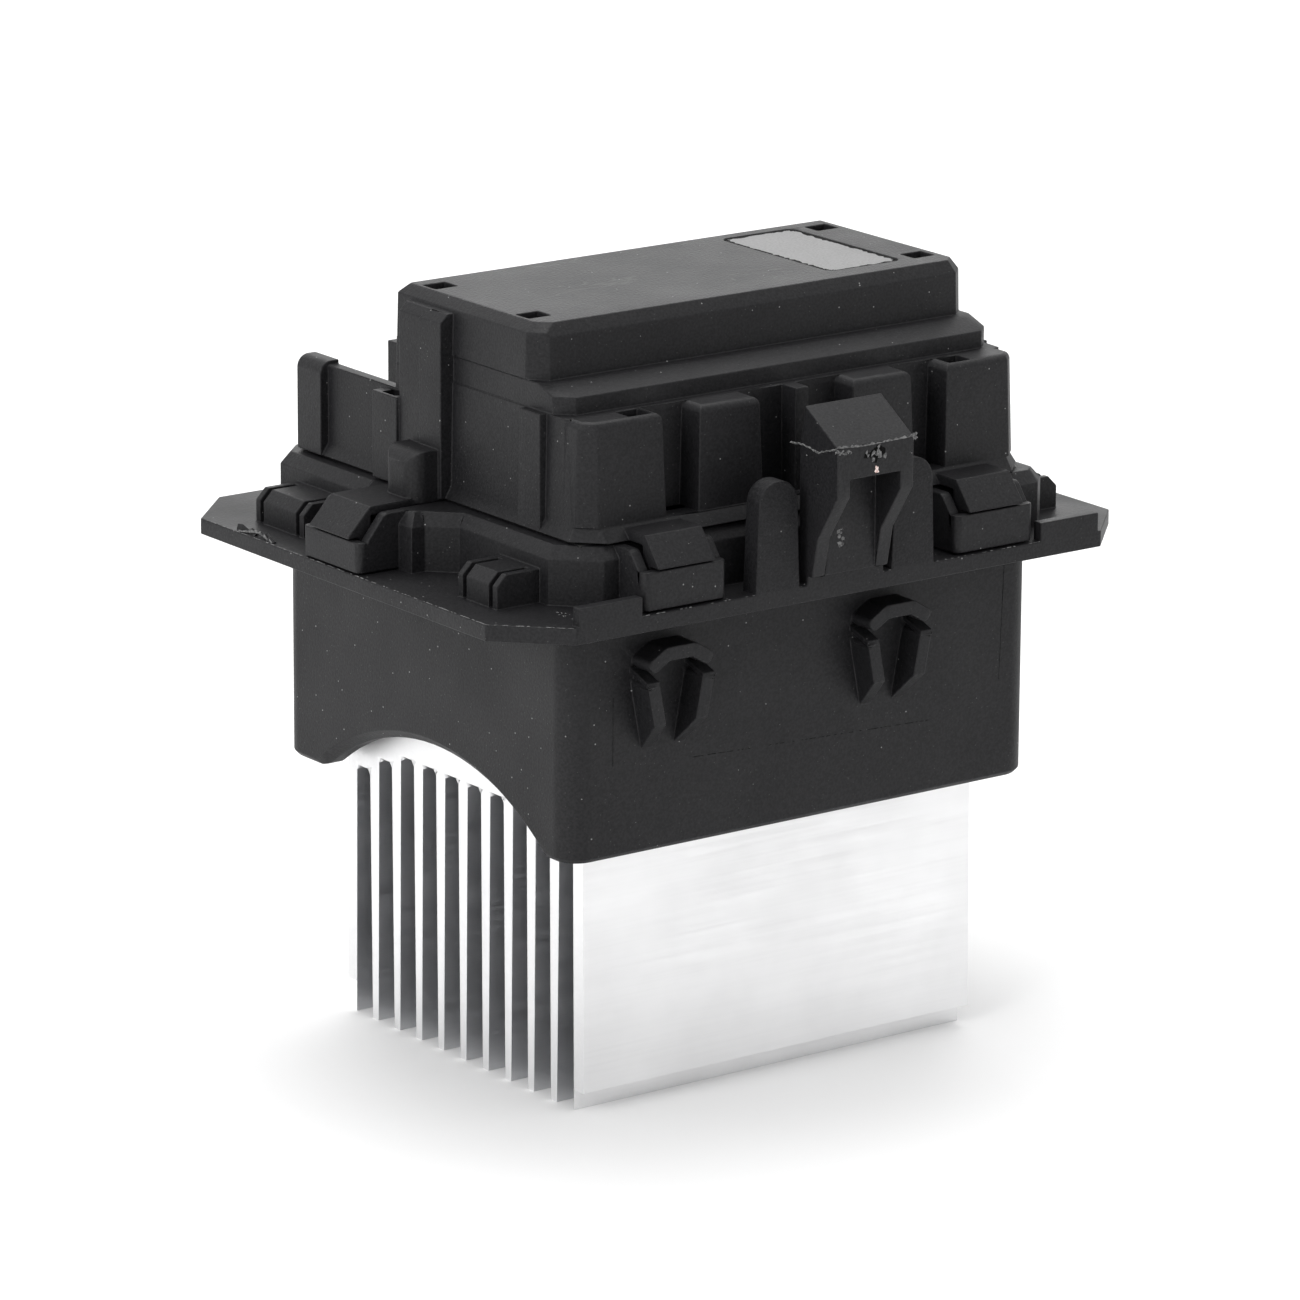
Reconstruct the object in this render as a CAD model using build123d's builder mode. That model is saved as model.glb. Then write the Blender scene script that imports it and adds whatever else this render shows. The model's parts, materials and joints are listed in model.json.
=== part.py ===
from build123d import *
import os
from math import atan, degrees, sqrt

# Blower motor resistor module: an aluminium heat sink that hangs in the air duct,
# a moulded mounting frame with latch and snap loops, and a stepped clip-on cover
# with the electrical sockets at the rear and the electronics inside.
# Millimetres. Z = 0 is the underside of the mounting flange, X runs along the fins,
# the latch is on the -Y side.

# Mounting flange
flange_length = 88.6
flange_depth = 71.5
flange_thick = 1.9
flange_corner = 7.2

# Sleeve that plugs into the duct
sleeve_margin_x = 11.3
sleeve_margin_y = 7.05
sleeve_drop = 28.0
sleeve_wall = 1.6
sleeve_end_wall = 2.9
sleeve_corner = 3.2
sleeve_lip = 0.6
arch_radius = 35.4
arch_rise = 7.6
arch_shift = -1.2
arch_corner = 3.0
arch_bevel = 1.0

# Inner deck that carries the heat sink and the circuit board
deck_top = -16.2
deck_thick = 2.0
window_land = 4.0
window_depth = 26.0
window_round = 2.0

# Base wall that the cover closes on
base_setback_x = 10.3
base_setback_y = 5.35
base_facet_left = 4.4
base_facet_right = 2.0
base_facet_rear = 3.0
base_knee = 7.2
base_top = 8.6
base_bevel = 1.17
base_wall_x = 4.4
base_wall_y = 4.0
tab_reach = 4.6
tab_front = -6.1
tab_rear = 7.6
tab_facet = 2.8

# Seal between frame and cover
seal_width = 0.7
seal_depth = 0.8
seal_inset = 0.6

# Snap loops on the frame and tongues on the cover
loop_width = 11.25
loop_arm = 1.3
loop_bar = 1.2
front_loop_height = 4.4
side_loop_height = 3.5
loop_sill = 0.2
loop_round = 0.8
loop_sweep = 1.0
front_loop_inset = 12.125
front_loop_setback = 0.55
side_loop_y = 2.0
side_loop_setback = 0.2
loop_lean = 0.8
tongue_width = 7.8
tongue_root = 0.5
tongue_clear = 0.3
nose_gap = 0.2
tang_thick = 1.4
tang_drop = 3.0
front_crest_z = 10.1
front_crest_out = 2.4
front_toe_z = 6.9
side_crest_z = 9.2
side_crest_out = 2.7
side_toe_z = 6.1
side_notch_z = 7.9
side_notch_inset = 2.8

# Ribbed grip clips at the flange ends
front_grip_end = 6.0
front_grip_width = 7.5
rear_grip_end = 6.6
rear_grip_width = 9.9
grip_reach = 5.8
grip_height = 3.9
grip_chamfer = 1.25
grip_cheek = 0.9
grip_slot = 0.7

# Front ribs on the flange edge
rib_length = 8.5
rib_setback = 0.4
rib_thick = 1.4
rib_height = 2.2

# Latch and its two guards
latch_width = 10.7
latch_cheek = 1.8
latch_back_in = 1.75
latch_back_thick = 2.4
latch_out = 5.25
latch_foot_out = 0.75
latch_waist_out = 1.65
latch_waist_z = 7.5
latch_knee_z = 12.85
latch_window_z = 14.85
latch_chin_z = 18.6
latch_neck_z = 18.0
latch_crown_in = 0.9
latch_crown_z = 22.4
latch_undercut = 1.0
guard_inner_x = 6.5
guard_outer_x = 12.6
guard_thick = 2.5
guard_top = 14.5
guard_round = 2.6
guard_draft = 0.45

# Horseshoe clips on the sleeve front
hoop_left_x = -20.1
hoop_right_x = 10.8
hoop_top = -3.4
hoop_width = 9.3
hoop_band = 1.65
hoop_shoulder = 2.6
hoop_fall = 1.6
hoop_leg_top = -7.3
hoop_leg_foot = -15.7
hoop_taper = 1.6
hoop_stand = 3.4
hoop_web = 0.7
hoop_web_rise = 1.3
hoop_web_slope = 1.2
hoop_round = 1.8
hoop_tip_round = 0.7

# Cover
joint_line = 0.3
cover_step_facet = 0.5
foot_in_x = 2.6
foot_in_y = 1.4
skirt_in_x = 2.2
skirt_in_y = 0.5
skirt_facet = 3.2
skirt_top = 10.4
body_in_x = 3.1
body_in_y = 1.8
body_facet = 2.2
body_draft = 1.0
recess_depth = 3.6
ledge_z = 22.3
tier_back = 1.2
tier_in = 0.35
tier_facet = 1.9
tier_band_z = 24.3
tier_top_z = 25.3
tier_slope_back = 4.1
box_in = 0.2
box_back = 6.0
box_gap = 4.0
box_facet = 2.0
box_rear_facet = 0.8
box_top = 31.6
box_draft = 1.2
box_edge_drop = 1.4
box_edge_in = 1.0
cover_wall = 1.5
cover_wall_draft = 0.6
core_overlap = 0.5
block_round = 0.9
outer_block_width = 11.2
outer_block_facet = 1.8
inner_block_x = 6.2
block_spacing = 4.4
inner_block_z = 9.6
block_draft = 1.9
centre_rib = 1.8
centre_rib_back = 1.2

# Square holes in the cover
vent_x = 3.0
vent_y = 2.6
box_vent_in = 3.5
box_vent_rear = 4.44
box_vent_front = 5.42
block_vent_in = 2.9
block_vent_back = 2.5

# Side features of the cover
pilaster_out = 1.5
pilaster_front = -2.9
pilaster_rear = 5.6
pilaster_step = 0.2
pilaster_seam = 1.4
pilaster_top = 30.2
corner_pilaster_out = 0.8
corner_pilaster_back = 3.9
corner_pilaster_width = 4.0
boss_out = 2.0
boss_front = -2.4
boss_rear = 3.7
boss_top = 14.6
boss_round = 2.0
pocket_out = 1.7
pocket_rear = 10.5
pocket_top = 19.1
pocket_vent_out = 0.4
pocket_vent_y = 7.8
pocket_vent_width = 1.6
pocket_vent_length = 2.6

# Rear socket housing
rear_top = 19.5
collar_out = 1.1
collar_depth = 4.9
collar_setback = 3.6
collar_top = 20.0
collar_round = 1.5
socket_floor = 11.9
socket_roof = 18.3
socket_depth = 12.3
socket_wall = 1.5
socket_end_wall = 3.1
socket_parting = 3.6
power_socket_width = 28.8
signal_socket_width = 13.2
socket_round = 0.8
key_width = 1.4
key_height = 0.9
key_setback = 1.0
catch_width = 5.0
catch_length = 2.6
catch_back = 3.2

# Bare plate recessed in the cover top
plate_in = 6.9
plate_front = 4.35
plate_rear = 3.05
plate_width = 10.2
plate_recess = 0.35
plate_thick = 0.25
plate_gap = 0.15
plate_round = 1.0

# Heat sink
fin_count = 11
fin_root = 1.85
fin_tip = 1.15
fin_bottom = -59.1
front_fin_short = 2.4
rear_fin_short = 3.7
end_fin_lean = 0.4
slot_top = -25.5
slot_round = 0.35
sink_gap_x = 5.2
sink_gap_y = 5.275
sink_shift = -0.6
edge_slot_drop = 3.2
next_slot_drop = 1.3
gasket_thick = 0.6
gasket_land = 3.0
gasket_inset = 1.0

# Screws
sink_screw_inset = 3.8
sink_screw_y = 9.0
sink_screw_size = 3.0
sink_screw_length = 7.0
screw_head_size = 5.4
screw_head_height = 1.8
tapping_allowance = 0.25
screw_clear = 0.3
cross_span_share = 0.6
cross_slot_share = 0.14
cross_depth_share = 0.45

# Circuit board on four posts
board_gap_x = 2.6
board_gap_y = 4.4
board_thick = 1.6
board_top = -5.0
board_round = 1.5
post_inset_x = 2.5
post_inset_y = 3.5
post_size = 5.0
board_screw_size = 2.4
board_screw_length = 7.0
board_head_size = 4.4
board_head_height = 1.4

# Power transistors and their clamp
transistor_width = 10.4
transistor_length = 15.8
transistor_thick = 4.6
transistor_front = -8.0
transistor_bevel = 0.8
transistor_tab = 1.5
lead_count = 3
lead_pitch = 2.54
lead_width = 0.9
lead_thick = 0.6
lead_level = 2.2
lead_up = 1.0
pad_thick = 0.3
clamp_width = 9.0
clamp_thick = 0.8
clamp_y = 1.0
clamp_overhang = 1.5
clamp_curl = 1.6
clamp_screw_length = 11.0

# Parts standing on the board, in three rows
row_inset = 5.0
row_clear = 0.8
middle_row_y = -1.0
can_size = 12.5
can_height = 20.0
can_bead = 0.5
can_groove_z = 2.6
choke_outer = 14.0
choke_inner = 8.0
choke_height = 7.0
choke_turns = 12
choke_wire = 0.8
choke_clear = 0.1
film_length = 11.0
film_width = 6.0
film_height = 11.0
film_round = 0.6
film_bevel = 0.5
shunt_span = 9.0
shunt_width = 4.0
shunt_height = 4.0
shunt_thick = 0.8
shunt_foot = 1.5
fuse_size = 4.0
fuse_length = 7.0
fuse_lead = 0.9
fuse_lead_reach = 1.5
diode_length = 10.0
diode_width = 6.0
diode_height = 4.4
diode_bevel = 0.6
diode_tab_out = 1.5
diode_tab_thick = 1.2
chip_length = 9.8
chip_width = 4.0
chip_height = 1.7
chip_leads = 7
chip_lead_pitch = 1.27
chip_lead_reach = 1.0
chip_lead_size = 0.4
small_part_pitch = 3.2
small_part_count = 4
small_part_length = 2.0
small_part_width = 1.25
small_part_height = 0.8
chip_cap_shift = -2.0
chip_resistor_shift = 1.5

# Terminals
blade_width = 6.3
blade_thick = 0.8
blade_level = 15.0
blade_setback = 4.4
blade_bend_gap = 1.8
blade_tail_width = 3.0
blade_tail_drop = 1.2
blade_pitch = 7.2
blade_count = 4
blade_point = 0.9
point_share = 0.3
pin_width = 1.5
pin_pitch = 4.0
pin_count = 3
terminal_fit = 0.05
solder_clear = 0.3

# How far a cut runs past the face it opens, and the play allowed when faces are compared
overcut = 1.0
hair = 0.01

# Derived: sleeve and base wall stand in from the edge of the flange
sleeve_length = flange_length - 2 * sleeve_margin_x
sleeve_depth = flange_depth - 2 * sleeve_margin_y
sleeve_inner_x = sleeve_length / 2 - sleeve_end_wall
sleeve_inner_y = sleeve_depth / 2 - sleeve_wall
edge_y = -flange_depth / 2
base_half_x = flange_length / 2 - base_setback_x
base_half_y = flange_depth / 2 - base_setback_y
base_inner_x = base_half_x - base_wall_x
base_inner_y = base_half_y - base_wall_y
tab_half_x = base_half_x + tab_reach
bevel_angle = degrees(atan(base_bevel / (base_top - base_knee)))

# Derived: loops, tongues and latch
front_loop_x = base_half_x - front_loop_inset
front_loop_reach = flange_depth / 2 - base_half_y - front_loop_setback
side_loop_reach = flange_length / 2 - tab_half_x - side_loop_setback
loop_bottom = flange_thick + loop_sill
side_notch_x = base_half_x - side_notch_inset
latch_back_y = edge_y + latch_back_in
latch_front_y = edge_y - latch_out
latch_crown_y = edge_y + latch_crown_in

# Derived: the steps of the cover follow the base wall, from the front to the rear
foot_half_x = base_half_x - foot_in_x
foot_half_y = base_half_y - foot_in_y
skirt_half_x = base_half_x - skirt_in_x
skirt_half_y = base_half_y - skirt_in_y
skirt_foot = base_top + joint_line
body_half_x = base_half_x - body_in_x
body_half_y = base_half_y - body_in_y
block_front_y = -body_half_y
recess_y = block_front_y + recess_depth
block_root_y = recess_y + 2 * block_round
outer_block_x = body_half_x - outer_block_width
inner_block_end = outer_block_x - block_spacing
tier_y = recess_y + tier_back
tier_half_x = body_half_x - tier_in
tier_slope_y = recess_y + tier_slope_back
corner_pilaster_front = recess_y + corner_pilaster_back
boss_end_x = base_half_x + boss_out
pocket_end_x = body_half_x + pocket_out
collar_half_x = body_half_x + collar_out
collar_rear = base_half_y - collar_setback
collar_front = collar_rear - collar_depth
socket_end_y = collar_rear - socket_depth
socket_inner_y = socket_end_y - socket_wall
socket_mid_z = (socket_floor + socket_roof) / 2
socket_height = socket_roof - socket_floor
signal_socket_x = body_half_x - socket_end_wall - signal_socket_width / 2
power_socket_right = signal_socket_x - signal_socket_width / 2 - socket_parting
power_socket_x = power_socket_right - power_socket_width / 2
socket_block_left = power_socket_right - power_socket_width - socket_wall
box_half_x = body_half_x - box_in
box_front_y = recess_y + box_back
box_rear_y = socket_inner_y - box_gap
plate_x = box_half_x - plate_in - plate_width / 2
plate_length = box_rear_y - plate_rear - box_front_y - plate_front
plate_y = box_front_y + plate_front + plate_length / 2

# Derived: heat sink, deck window and board follow the sleeve and the base wall
deck_bottom = deck_top - deck_thick
sink_top = deck_bottom - gasket_thick
sink_length = sleeve_length - 2 * sink_gap_x
fin_pitch = (sleeve_depth - 2 * sink_gap_y - fin_root) / (fin_count - 1)
sink_screw_x = sink_length / 2 - sink_screw_inset
window_length = 2 * (sink_screw_x - window_land)
board_length = 2 * (base_inner_x - board_gap_x)
board_depth = 2 * (base_inner_y - board_gap_y)
board_bottom = board_top - board_thick
post_x = board_length / 2 - post_inset_x
post_y = board_depth / 2 - post_inset_y
post_height = board_bottom - deck_top
transistor_x = (window_length / 2 + sink_screw_size / 2) / 2
transistor_top = sink_top + pad_thick + transistor_thick
front_row_y = -board_depth / 2 + row_inset
rear_row_y = board_depth / 2 - row_inset
winding_lift = choke_wire + choke_clear
choke_front = middle_row_y - choke_outer / 2 - winding_lift
lead_y = (front_row_y + film_width / 2 + choke_front) / 2
blade_bend_y = socket_inner_y - blade_bend_gap
blade_tip_y = collar_rear - blade_setback
SIDES = (-1, 1)


def spread(centre, pitch, count):
    """Evenly pitched places about a centre."""
    return [centre + (i - (count - 1) / 2) * pitch for i in range(count)]


def row_places(sizes, reach):
    """Centres of a row of pieces, with equal gaps between them and up to -reach and reach."""
    gap = (2 * reach - sum(sizes)) / (len(sizes) + 1)
    starts = [-reach + gap * (i + 1) + sum(sizes[:i]) for i in range(len(sizes))]
    return [start + size / 2 for start, size in zip(starts, sizes)]


def faceted(half_x, front, rear, front_facet, rear_facet):
    """Corners of a rectangle whose front and rear corners are cut at 45 degrees."""
    return [
        (-half_x, front + front_facet),
        (-half_x + front_facet, front),
        (half_x - front_facet, front),
        (half_x, front + front_facet),
        (half_x, rear - rear_facet),
        (half_x - rear_facet, rear),
        (-half_x + rear_facet, rear),
        (-half_x, rear - rear_facet),
    ]


def anticlockwise(points):
    """The same outline, turned so that it faces upward."""
    ahead = points[1:] + points[:1]
    doubled_area = sum(x0 * y1 - x1 * y0 for (x0, y0), (x1, y1) in zip(points, ahead))
    return points if doubled_area > 0 else points[::-1]


def plan(level, points, height, taper=0, mode=Mode.ADD):
    """Raise a plan outline from a level, with an inward draft in degrees."""
    with BuildSketch(Plane.XY.offset(level)) as outline:
        Polygon(*anticlockwise(points), align=None)
    extrude(outline.sketch, amount=height, taper=taper, mode=mode)


def box_plan(x0, x1, y0, y1):
    """Corners of a plain rectangle."""
    return [(x0, y0), (x1, y0), (x1, y1), (x0, y1)]


def side_profile(points, centre_x, width, mode=Mode.ADD):
    """Extrude a (y, z) outline across X about a centre."""
    with BuildSketch(Plane.YZ.offset(centre_x - width / 2)) as outline:
        Polygon(*points, align=None)
    extrude(outline.sketch, amount=width, dir=(1, 0, 0), mode=mode)


def base_outline():
    """Plan of the base wall: faceted corners and a stepped tab on each end."""
    front = [
        (-base_half_x, -base_half_y + base_facet_left),
        (-base_half_x + base_facet_left, -base_half_y),
        (base_half_x - base_facet_right, -base_half_y),
        (base_half_x, -base_half_y + base_facet_right),
    ]
    rear = [
        (base_half_x, base_half_y - base_facet_rear),
        (base_half_x - base_facet_rear, base_half_y),
        (-base_half_x + base_facet_rear, base_half_y),
        (-base_half_x, base_half_y - base_facet_rear),
    ]
    right_tab = [
        (base_half_x, tab_front - tab_facet),
        (base_half_x + tab_facet, tab_front),
        (tab_half_x, tab_front),
        (tab_half_x, tab_rear),
        (base_half_x + tab_facet, tab_rear),
        (base_half_x, tab_rear + tab_facet),
    ]
    left_tab = [(-x, y) for x, y in reversed(right_tab)]
    return front + right_tab + rear + left_tab


def snap_loop(reach, height):
    """Loop that stands off a wall at y = 0 towards -Y: two swept arms and a bar."""
    top = loop_bottom + height
    back = reach - loop_bar
    with BuildPart() as loop:
        for side in SIDES:
            centre = side * (loop_width - loop_arm) / 2
            with BuildSketch(Plane.YZ.offset(centre - loop_arm / 2)) as arm:
                Polygon(
                    (0, loop_bottom),
                    (-back, loop_bottom),
                    (-back, top),
                    (-back + (base_top - top) * loop_lean, base_top),
                    (base_bevel, base_top),
                    (0, base_knee),
                    align=None,
                )
                fillet(arm.vertices().sort_by_distance((-back, top))[0], loop_round)
                crest = arm.vertices().group_by(Axis.Y)[-1].sort_by(Axis.X)[0]
                fillet(crest, loop_sweep)
            extrude(arm.sketch, amount=loop_arm, dir=(1, 0, 0))
        side_profile(box_plan(-reach, -back, loop_bottom, top), 0, loop_width)
        corners = loop.edges().filter_by(Axis.Z).group_by(Axis.Y)[0]
        fillet(corners, loop_round)
    return loop.part


def snap_tongue(reach, loop_height, root, under, crest_out, crest_z, toe_z):
    """Tongue of the cover: plate over the base wall, ramped nose and a tang behind the loop bar."""
    toe_out = reach + nose_gap
    under_nose = loop_bottom + loop_height + nose_gap
    tang_front = reach - loop_bar - tongue_clear
    outline = [
        (root, crest_z),
        (-crest_out, crest_z),
        (-toe_out, toe_z),
        (-toe_out, under_nose),
        (-tang_front, under_nose),
        (-tang_front, under_nose - tang_drop),
        (-tang_front + tang_thick, under_nose - tang_drop),
        (-tang_front + tang_thick, under),
        (root, under),
    ]
    with BuildPart() as tongue:
        side_profile(outline, 0, tongue_width)
    return tongue.part


def grip_clip(width):
    """Grip clip that stands off a wall at x = 0 towards -X: a barrel between two thin cheeks."""
    top = flange_thick + grip_height
    outline = [
        (0, flange_thick),
        (-grip_reach, flange_thick),
        (-grip_reach, top - grip_chamfer),
        (-grip_reach + grip_chamfer, top),
        (0, top),
    ]
    with BuildPart() as clip:
        with BuildSketch(Plane.XZ.offset(-width / 2)):
            Polygon(*outline, align=None)
        extrude(amount=width)
        slot_middle = width / 2 - grip_cheek - grip_slot / 2
        for side in SIDES:
            y0 = side * slot_middle - grip_slot / 2
            slot = box_plan(-grip_reach - overcut, -grip_cheek, y0, y0 + grip_slot)
            plan(flange_thick, slot, grip_height, mode=Mode.SUBTRACT)
    return clip.part


def horseshoe_clip():
    """Horseshoe rib on a wall at y = 0: an arched band, two tapering legs and a sloping web in each gap."""
    half = hoop_width / 2
    slant = sqrt(hoop_shoulder**2 + hoop_fall**2)
    tip_in = hoop_band * hoop_fall / slant
    tip_low = hoop_top - hoop_fall - hoop_band * hoop_shoulder / slant
    inner_in = tip_in + (hoop_top - hoop_band - tip_low) * hoop_shoulder / hoop_fall
    with BuildPart() as clip:
        with BuildSketch(Plane.XZ) as band:
            Polygon(
                (-half, hoop_top - hoop_fall),
                (-half + hoop_shoulder, hoop_top),
                (half - hoop_shoulder, hoop_top),
                (half, hoop_top - hoop_fall),
                (half - tip_in, tip_low),
                (half - inner_in, hoop_top - hoop_band),
                (-half + inner_in, hoop_top - hoop_band),
                (-half + tip_in, tip_low),
                align=None,
            )
            fillet(band.vertices().group_by(Axis.Y)[-1], hoop_round)
            fillet(band.vertices().filter_by(lambda v: abs(v.X) > half - tip_in - hair), hoop_tip_round)
        extrude(amount=hoop_stand)
        with BuildSketch(Plane.XZ) as legs:
            for side in SIDES:
                Polygon(
                    (side * half, hoop_leg_top),
                    (side * (half - hoop_taper), hoop_leg_foot),
                    (side * (half - hoop_taper - hoop_band), hoop_leg_foot),
                    (side * (half - hoop_band), hoop_leg_top),
                    align=None,
                )
            fillet(legs.vertices().group_by(Axis.Y)[-1], hoop_tip_round)
        extrude(amount=hoop_stand)
        web_top = hoop_leg_top + hoop_web_rise
        web = [
            (0, web_top),
            (-hoop_stand, web_top - hoop_web_slope),
            (-hoop_stand, web_top - hoop_web_slope - hoop_web),
            (0, web_top - hoop_web),
        ]
        fin = box_plan(-hoop_web, 0, hoop_leg_top - hoop_tip_round, web_top)
        for side in SIDES:
            side_profile(web, side * (half - hoop_band / 2), hoop_band)
            side_profile(fin, side * (half - hoop_band / 2), hoop_web)
        past = hoop_stand + overcut
        slope = [
            (overcut, hoop_leg_foot - overcut),
            (-past, hoop_leg_foot - overcut),
            (-past, hoop_leg_foot + past),
        ]
        side_profile(slope, 0, hoop_width + overcut, mode=Mode.SUBTRACT)
    return clip.part


def front_block(points, foot):
    """Drafted block on the front of the cover, with its top edges rounded off."""
    with BuildPart() as block:
        plan(foot, points, ledge_z - foot, taper=block_draft)
        fillet(block.edges().group_by(Axis.Z)[-1], block_round)
    return block.part


def screw(size, length, head_size, head_height):
    """Hexagon-head screw with a cross recess, its head seat at z = 0 and its shank downward."""
    with BuildPart() as item:
        with BuildSketch(Plane.XY):
            RegularPolygon(head_size / 2, 6)
        extrude(amount=head_height)
        with BuildSketch(item.faces().sort_by(Axis.Z)[-1]):
            Rectangle(head_size * cross_span_share, head_size * cross_slot_share)
            Rectangle(head_size * cross_slot_share, head_size * cross_span_share)
        extrude(amount=-head_height * cross_depth_share, mode=Mode.SUBTRACT)
        with BuildSketch(Plane.XY):
            Circle(size / 2)
        extrude(amount=-length)
    return item.part


os.makedirs("parts", exist_ok=True)

# Mounting frame: sleeve, deck, flange, base wall and everything moulded on them
front_grip = grip_clip(front_grip_width)
rear_grip = grip_clip(rear_grip_width)
horseshoe = horseshoe_clip()
with BuildPart() as mounting_frame:
    half_depth = sleeve_depth / 2
    with BuildSketch(Plane.XY.offset(-sleeve_drop)):
        RectangleRounded(sleeve_length, sleeve_depth, sleeve_corner)
    extrude(amount=sleeve_drop)
    chamfer(mounting_frame.faces().sort_by(Axis.Z)[0].edges(), sleeve_lip)
    flange_plan = faceted(flange_length / 2, edge_y, -edge_y, flange_corner, flange_corner)
    plan(0, flange_plan, flange_thick)
    plan(flange_thick, base_outline(), base_knee - flange_thick)
    plan(base_knee, base_outline(), base_top - base_knee, taper=bevel_angle)

    # Open inside: electronics bay above the deck, heat sink bay below it
    opening = box_plan(-base_inner_x, base_inner_x, -base_inner_y, base_inner_y)
    plan(0, opening, base_top, mode=Mode.SUBTRACT)
    bay = box_plan(-sleeve_inner_x, sleeve_inner_x, -sleeve_inner_y, sleeve_inner_y)
    plan(deck_top, bay, -deck_top, mode=Mode.SUBTRACT)
    plan(-sleeve_drop, bay, deck_bottom + sleeve_drop, mode=Mode.SUBTRACT)
    with BuildSketch(Plane.XY.offset(deck_bottom)):
        with Locations((0, sink_shift)):
            RectangleRounded(window_length, window_depth, window_round)
    extrude(amount=deck_thick, mode=Mode.SUBTRACT)

    # Arched cut-out in both end walls, with rounded feet and a bevelled lip
    arch_half = sqrt(arch_radius**2 - (arch_radius - arch_rise) ** 2)
    arch_feet = (arch_shift - arch_half, arch_shift + arch_half)
    with BuildSketch(Plane.YZ.offset(-sleeve_length / 2)) as arch:
        with BuildLine():
            ThreePointArc(
                (arch_feet[0], -sleeve_drop),
                (arch_shift, -sleeve_drop + arch_rise),
                (arch_feet[1], -sleeve_drop),
            )
            Polyline(
                (arch_feet[1], -sleeve_drop),
                (half_depth, -sleeve_drop),
                (half_depth, -sleeve_drop - overcut),
                (-half_depth, -sleeve_drop - overcut),
                (-half_depth, -sleeve_drop),
                (arch_feet[0], -sleeve_drop),
            )
        make_face()
        corners = [arch.vertices().sort_by_distance((0, y, -sleeve_drop))[0] for y in arch_feet]
        fillet(corners, arch_corner)
    extrude(amount=sleeve_length, mode=Mode.SUBTRACT)
    arch_centre = (arch_shift, -sleeve_drop + arch_rise - arch_radius)
    for side in SIDES:
        for inset in (0, arch_bevel):
            with BuildSketch(Plane.YZ.offset(side * (sleeve_length / 2 - inset))):
                with Locations(arch_centre):
                    Circle(arch_radius + arch_bevel - inset)
        loft(mode=Mode.SUBTRACT)

    # Groove for the seal in the top of the base wall
    seal_outer_x = base_inner_x + seal_inset + seal_width
    seal_outer_y = base_inner_y + seal_inset + seal_width
    with BuildSketch(Plane.XY.offset(base_top)):
        Rectangle(2 * seal_outer_x, 2 * seal_outer_y)
        Rectangle(2 * (seal_outer_x - seal_width), 2 * (seal_outer_y - seal_width), mode=Mode.SUBTRACT)
    extrude(amount=-seal_depth, mode=Mode.SUBTRACT)

    # Snap loops: two on the front, one on each end
    front_places = [(side * front_loop_x, -base_half_y) for side in SIDES]
    with Locations(*front_places):
        add(snap_loop(front_loop_reach, front_loop_height))
    end_places = [Location((side * tab_half_x, side_loop_y, 0), (0, 0, side * 90)) for side in SIDES]
    with Locations(*end_places):
        add(snap_loop(side_loop_reach, side_loop_height))

    # Notch in each end tab under the tongue of the cover
    notch_half = tongue_width / 2 + tongue_clear
    for side in SIDES:
        notch_end = side * (tab_half_x + overcut)
        notch = box_plan(side * side_notch_x, notch_end, side_loop_y - notch_half, side_loop_y + notch_half)
        plan(side_notch_z, notch, base_top - side_notch_z, mode=Mode.SUBTRACT)

    # Grip clips on both ends, a narrow one in front and a wide one at the rear
    front_grip_y = -base_half_y + front_grip_end + front_grip_width / 2
    rear_grip_y = base_half_y - rear_grip_end - rear_grip_width / 2
    for y, grip in ((front_grip_y, front_grip), (rear_grip_y, rear_grip)):
        with Locations(Location((-base_half_x, y, 0)), Location((base_half_x, y, 0), (0, 0, 180))):
            add(grip)

    # Ribs along the front edge of the flange
    rib_outer_x = flange_length / 2 - flange_corner - rib_setback
    rib_inner_x = rib_outer_x - rib_length
    for side in SIDES:
        rib = box_plan(side * rib_inner_x, side * rib_outer_x, edge_y, edge_y + rib_thick)
        plan(flange_thick, rib, rib_height)

    # Latch: a cantilevered box with an open window and a sloped head
    latch = [
        (latch_back_y, flange_thick),
        (latch_back_y, latch_neck_z),
        (latch_crown_y, latch_crown_z),
        (latch_front_y, latch_chin_z),
        (latch_front_y, latch_knee_z),
        (edge_y - latch_waist_out, latch_waist_z),
        (edge_y - latch_foot_out, flange_thick + latch_undercut),
        (edge_y, flange_thick + latch_undercut),
        (edge_y, flange_thick),
    ]
    side_profile(latch, 0, latch_width)
    back_front_y = latch_back_y - latch_back_thick
    window = [
        (back_front_y, flange_thick + latch_undercut),
        (back_front_y, latch_window_z),
        (latch_front_y - overcut, latch_window_z),
        (latch_front_y - overcut, flange_thick + latch_undercut),
    ]
    side_profile(window, 0, latch_width - 2 * latch_cheek, mode=Mode.SUBTRACT)

    # Rounded guards beside the latch
    for side in SIDES:
        with BuildSketch(Plane.XZ.offset(-edge_y - guard_thick)) as guard:
            Polygon(
                (side * guard_inner_x, flange_thick),
                (side * guard_outer_x, flange_thick),
                (side * (guard_outer_x - guard_draft), guard_top),
                (side * (guard_inner_x + guard_draft), guard_top),
                align=None,
            )
            fillet(guard.vertices().group_by(Axis.Y)[-1], guard_round)
        extrude(amount=guard_thick)

    # Horseshoe clips on the sleeve front
    with Locations((hoop_left_x, -half_depth, 0), (hoop_right_x, -half_depth, 0)):
        add(horseshoe)

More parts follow.
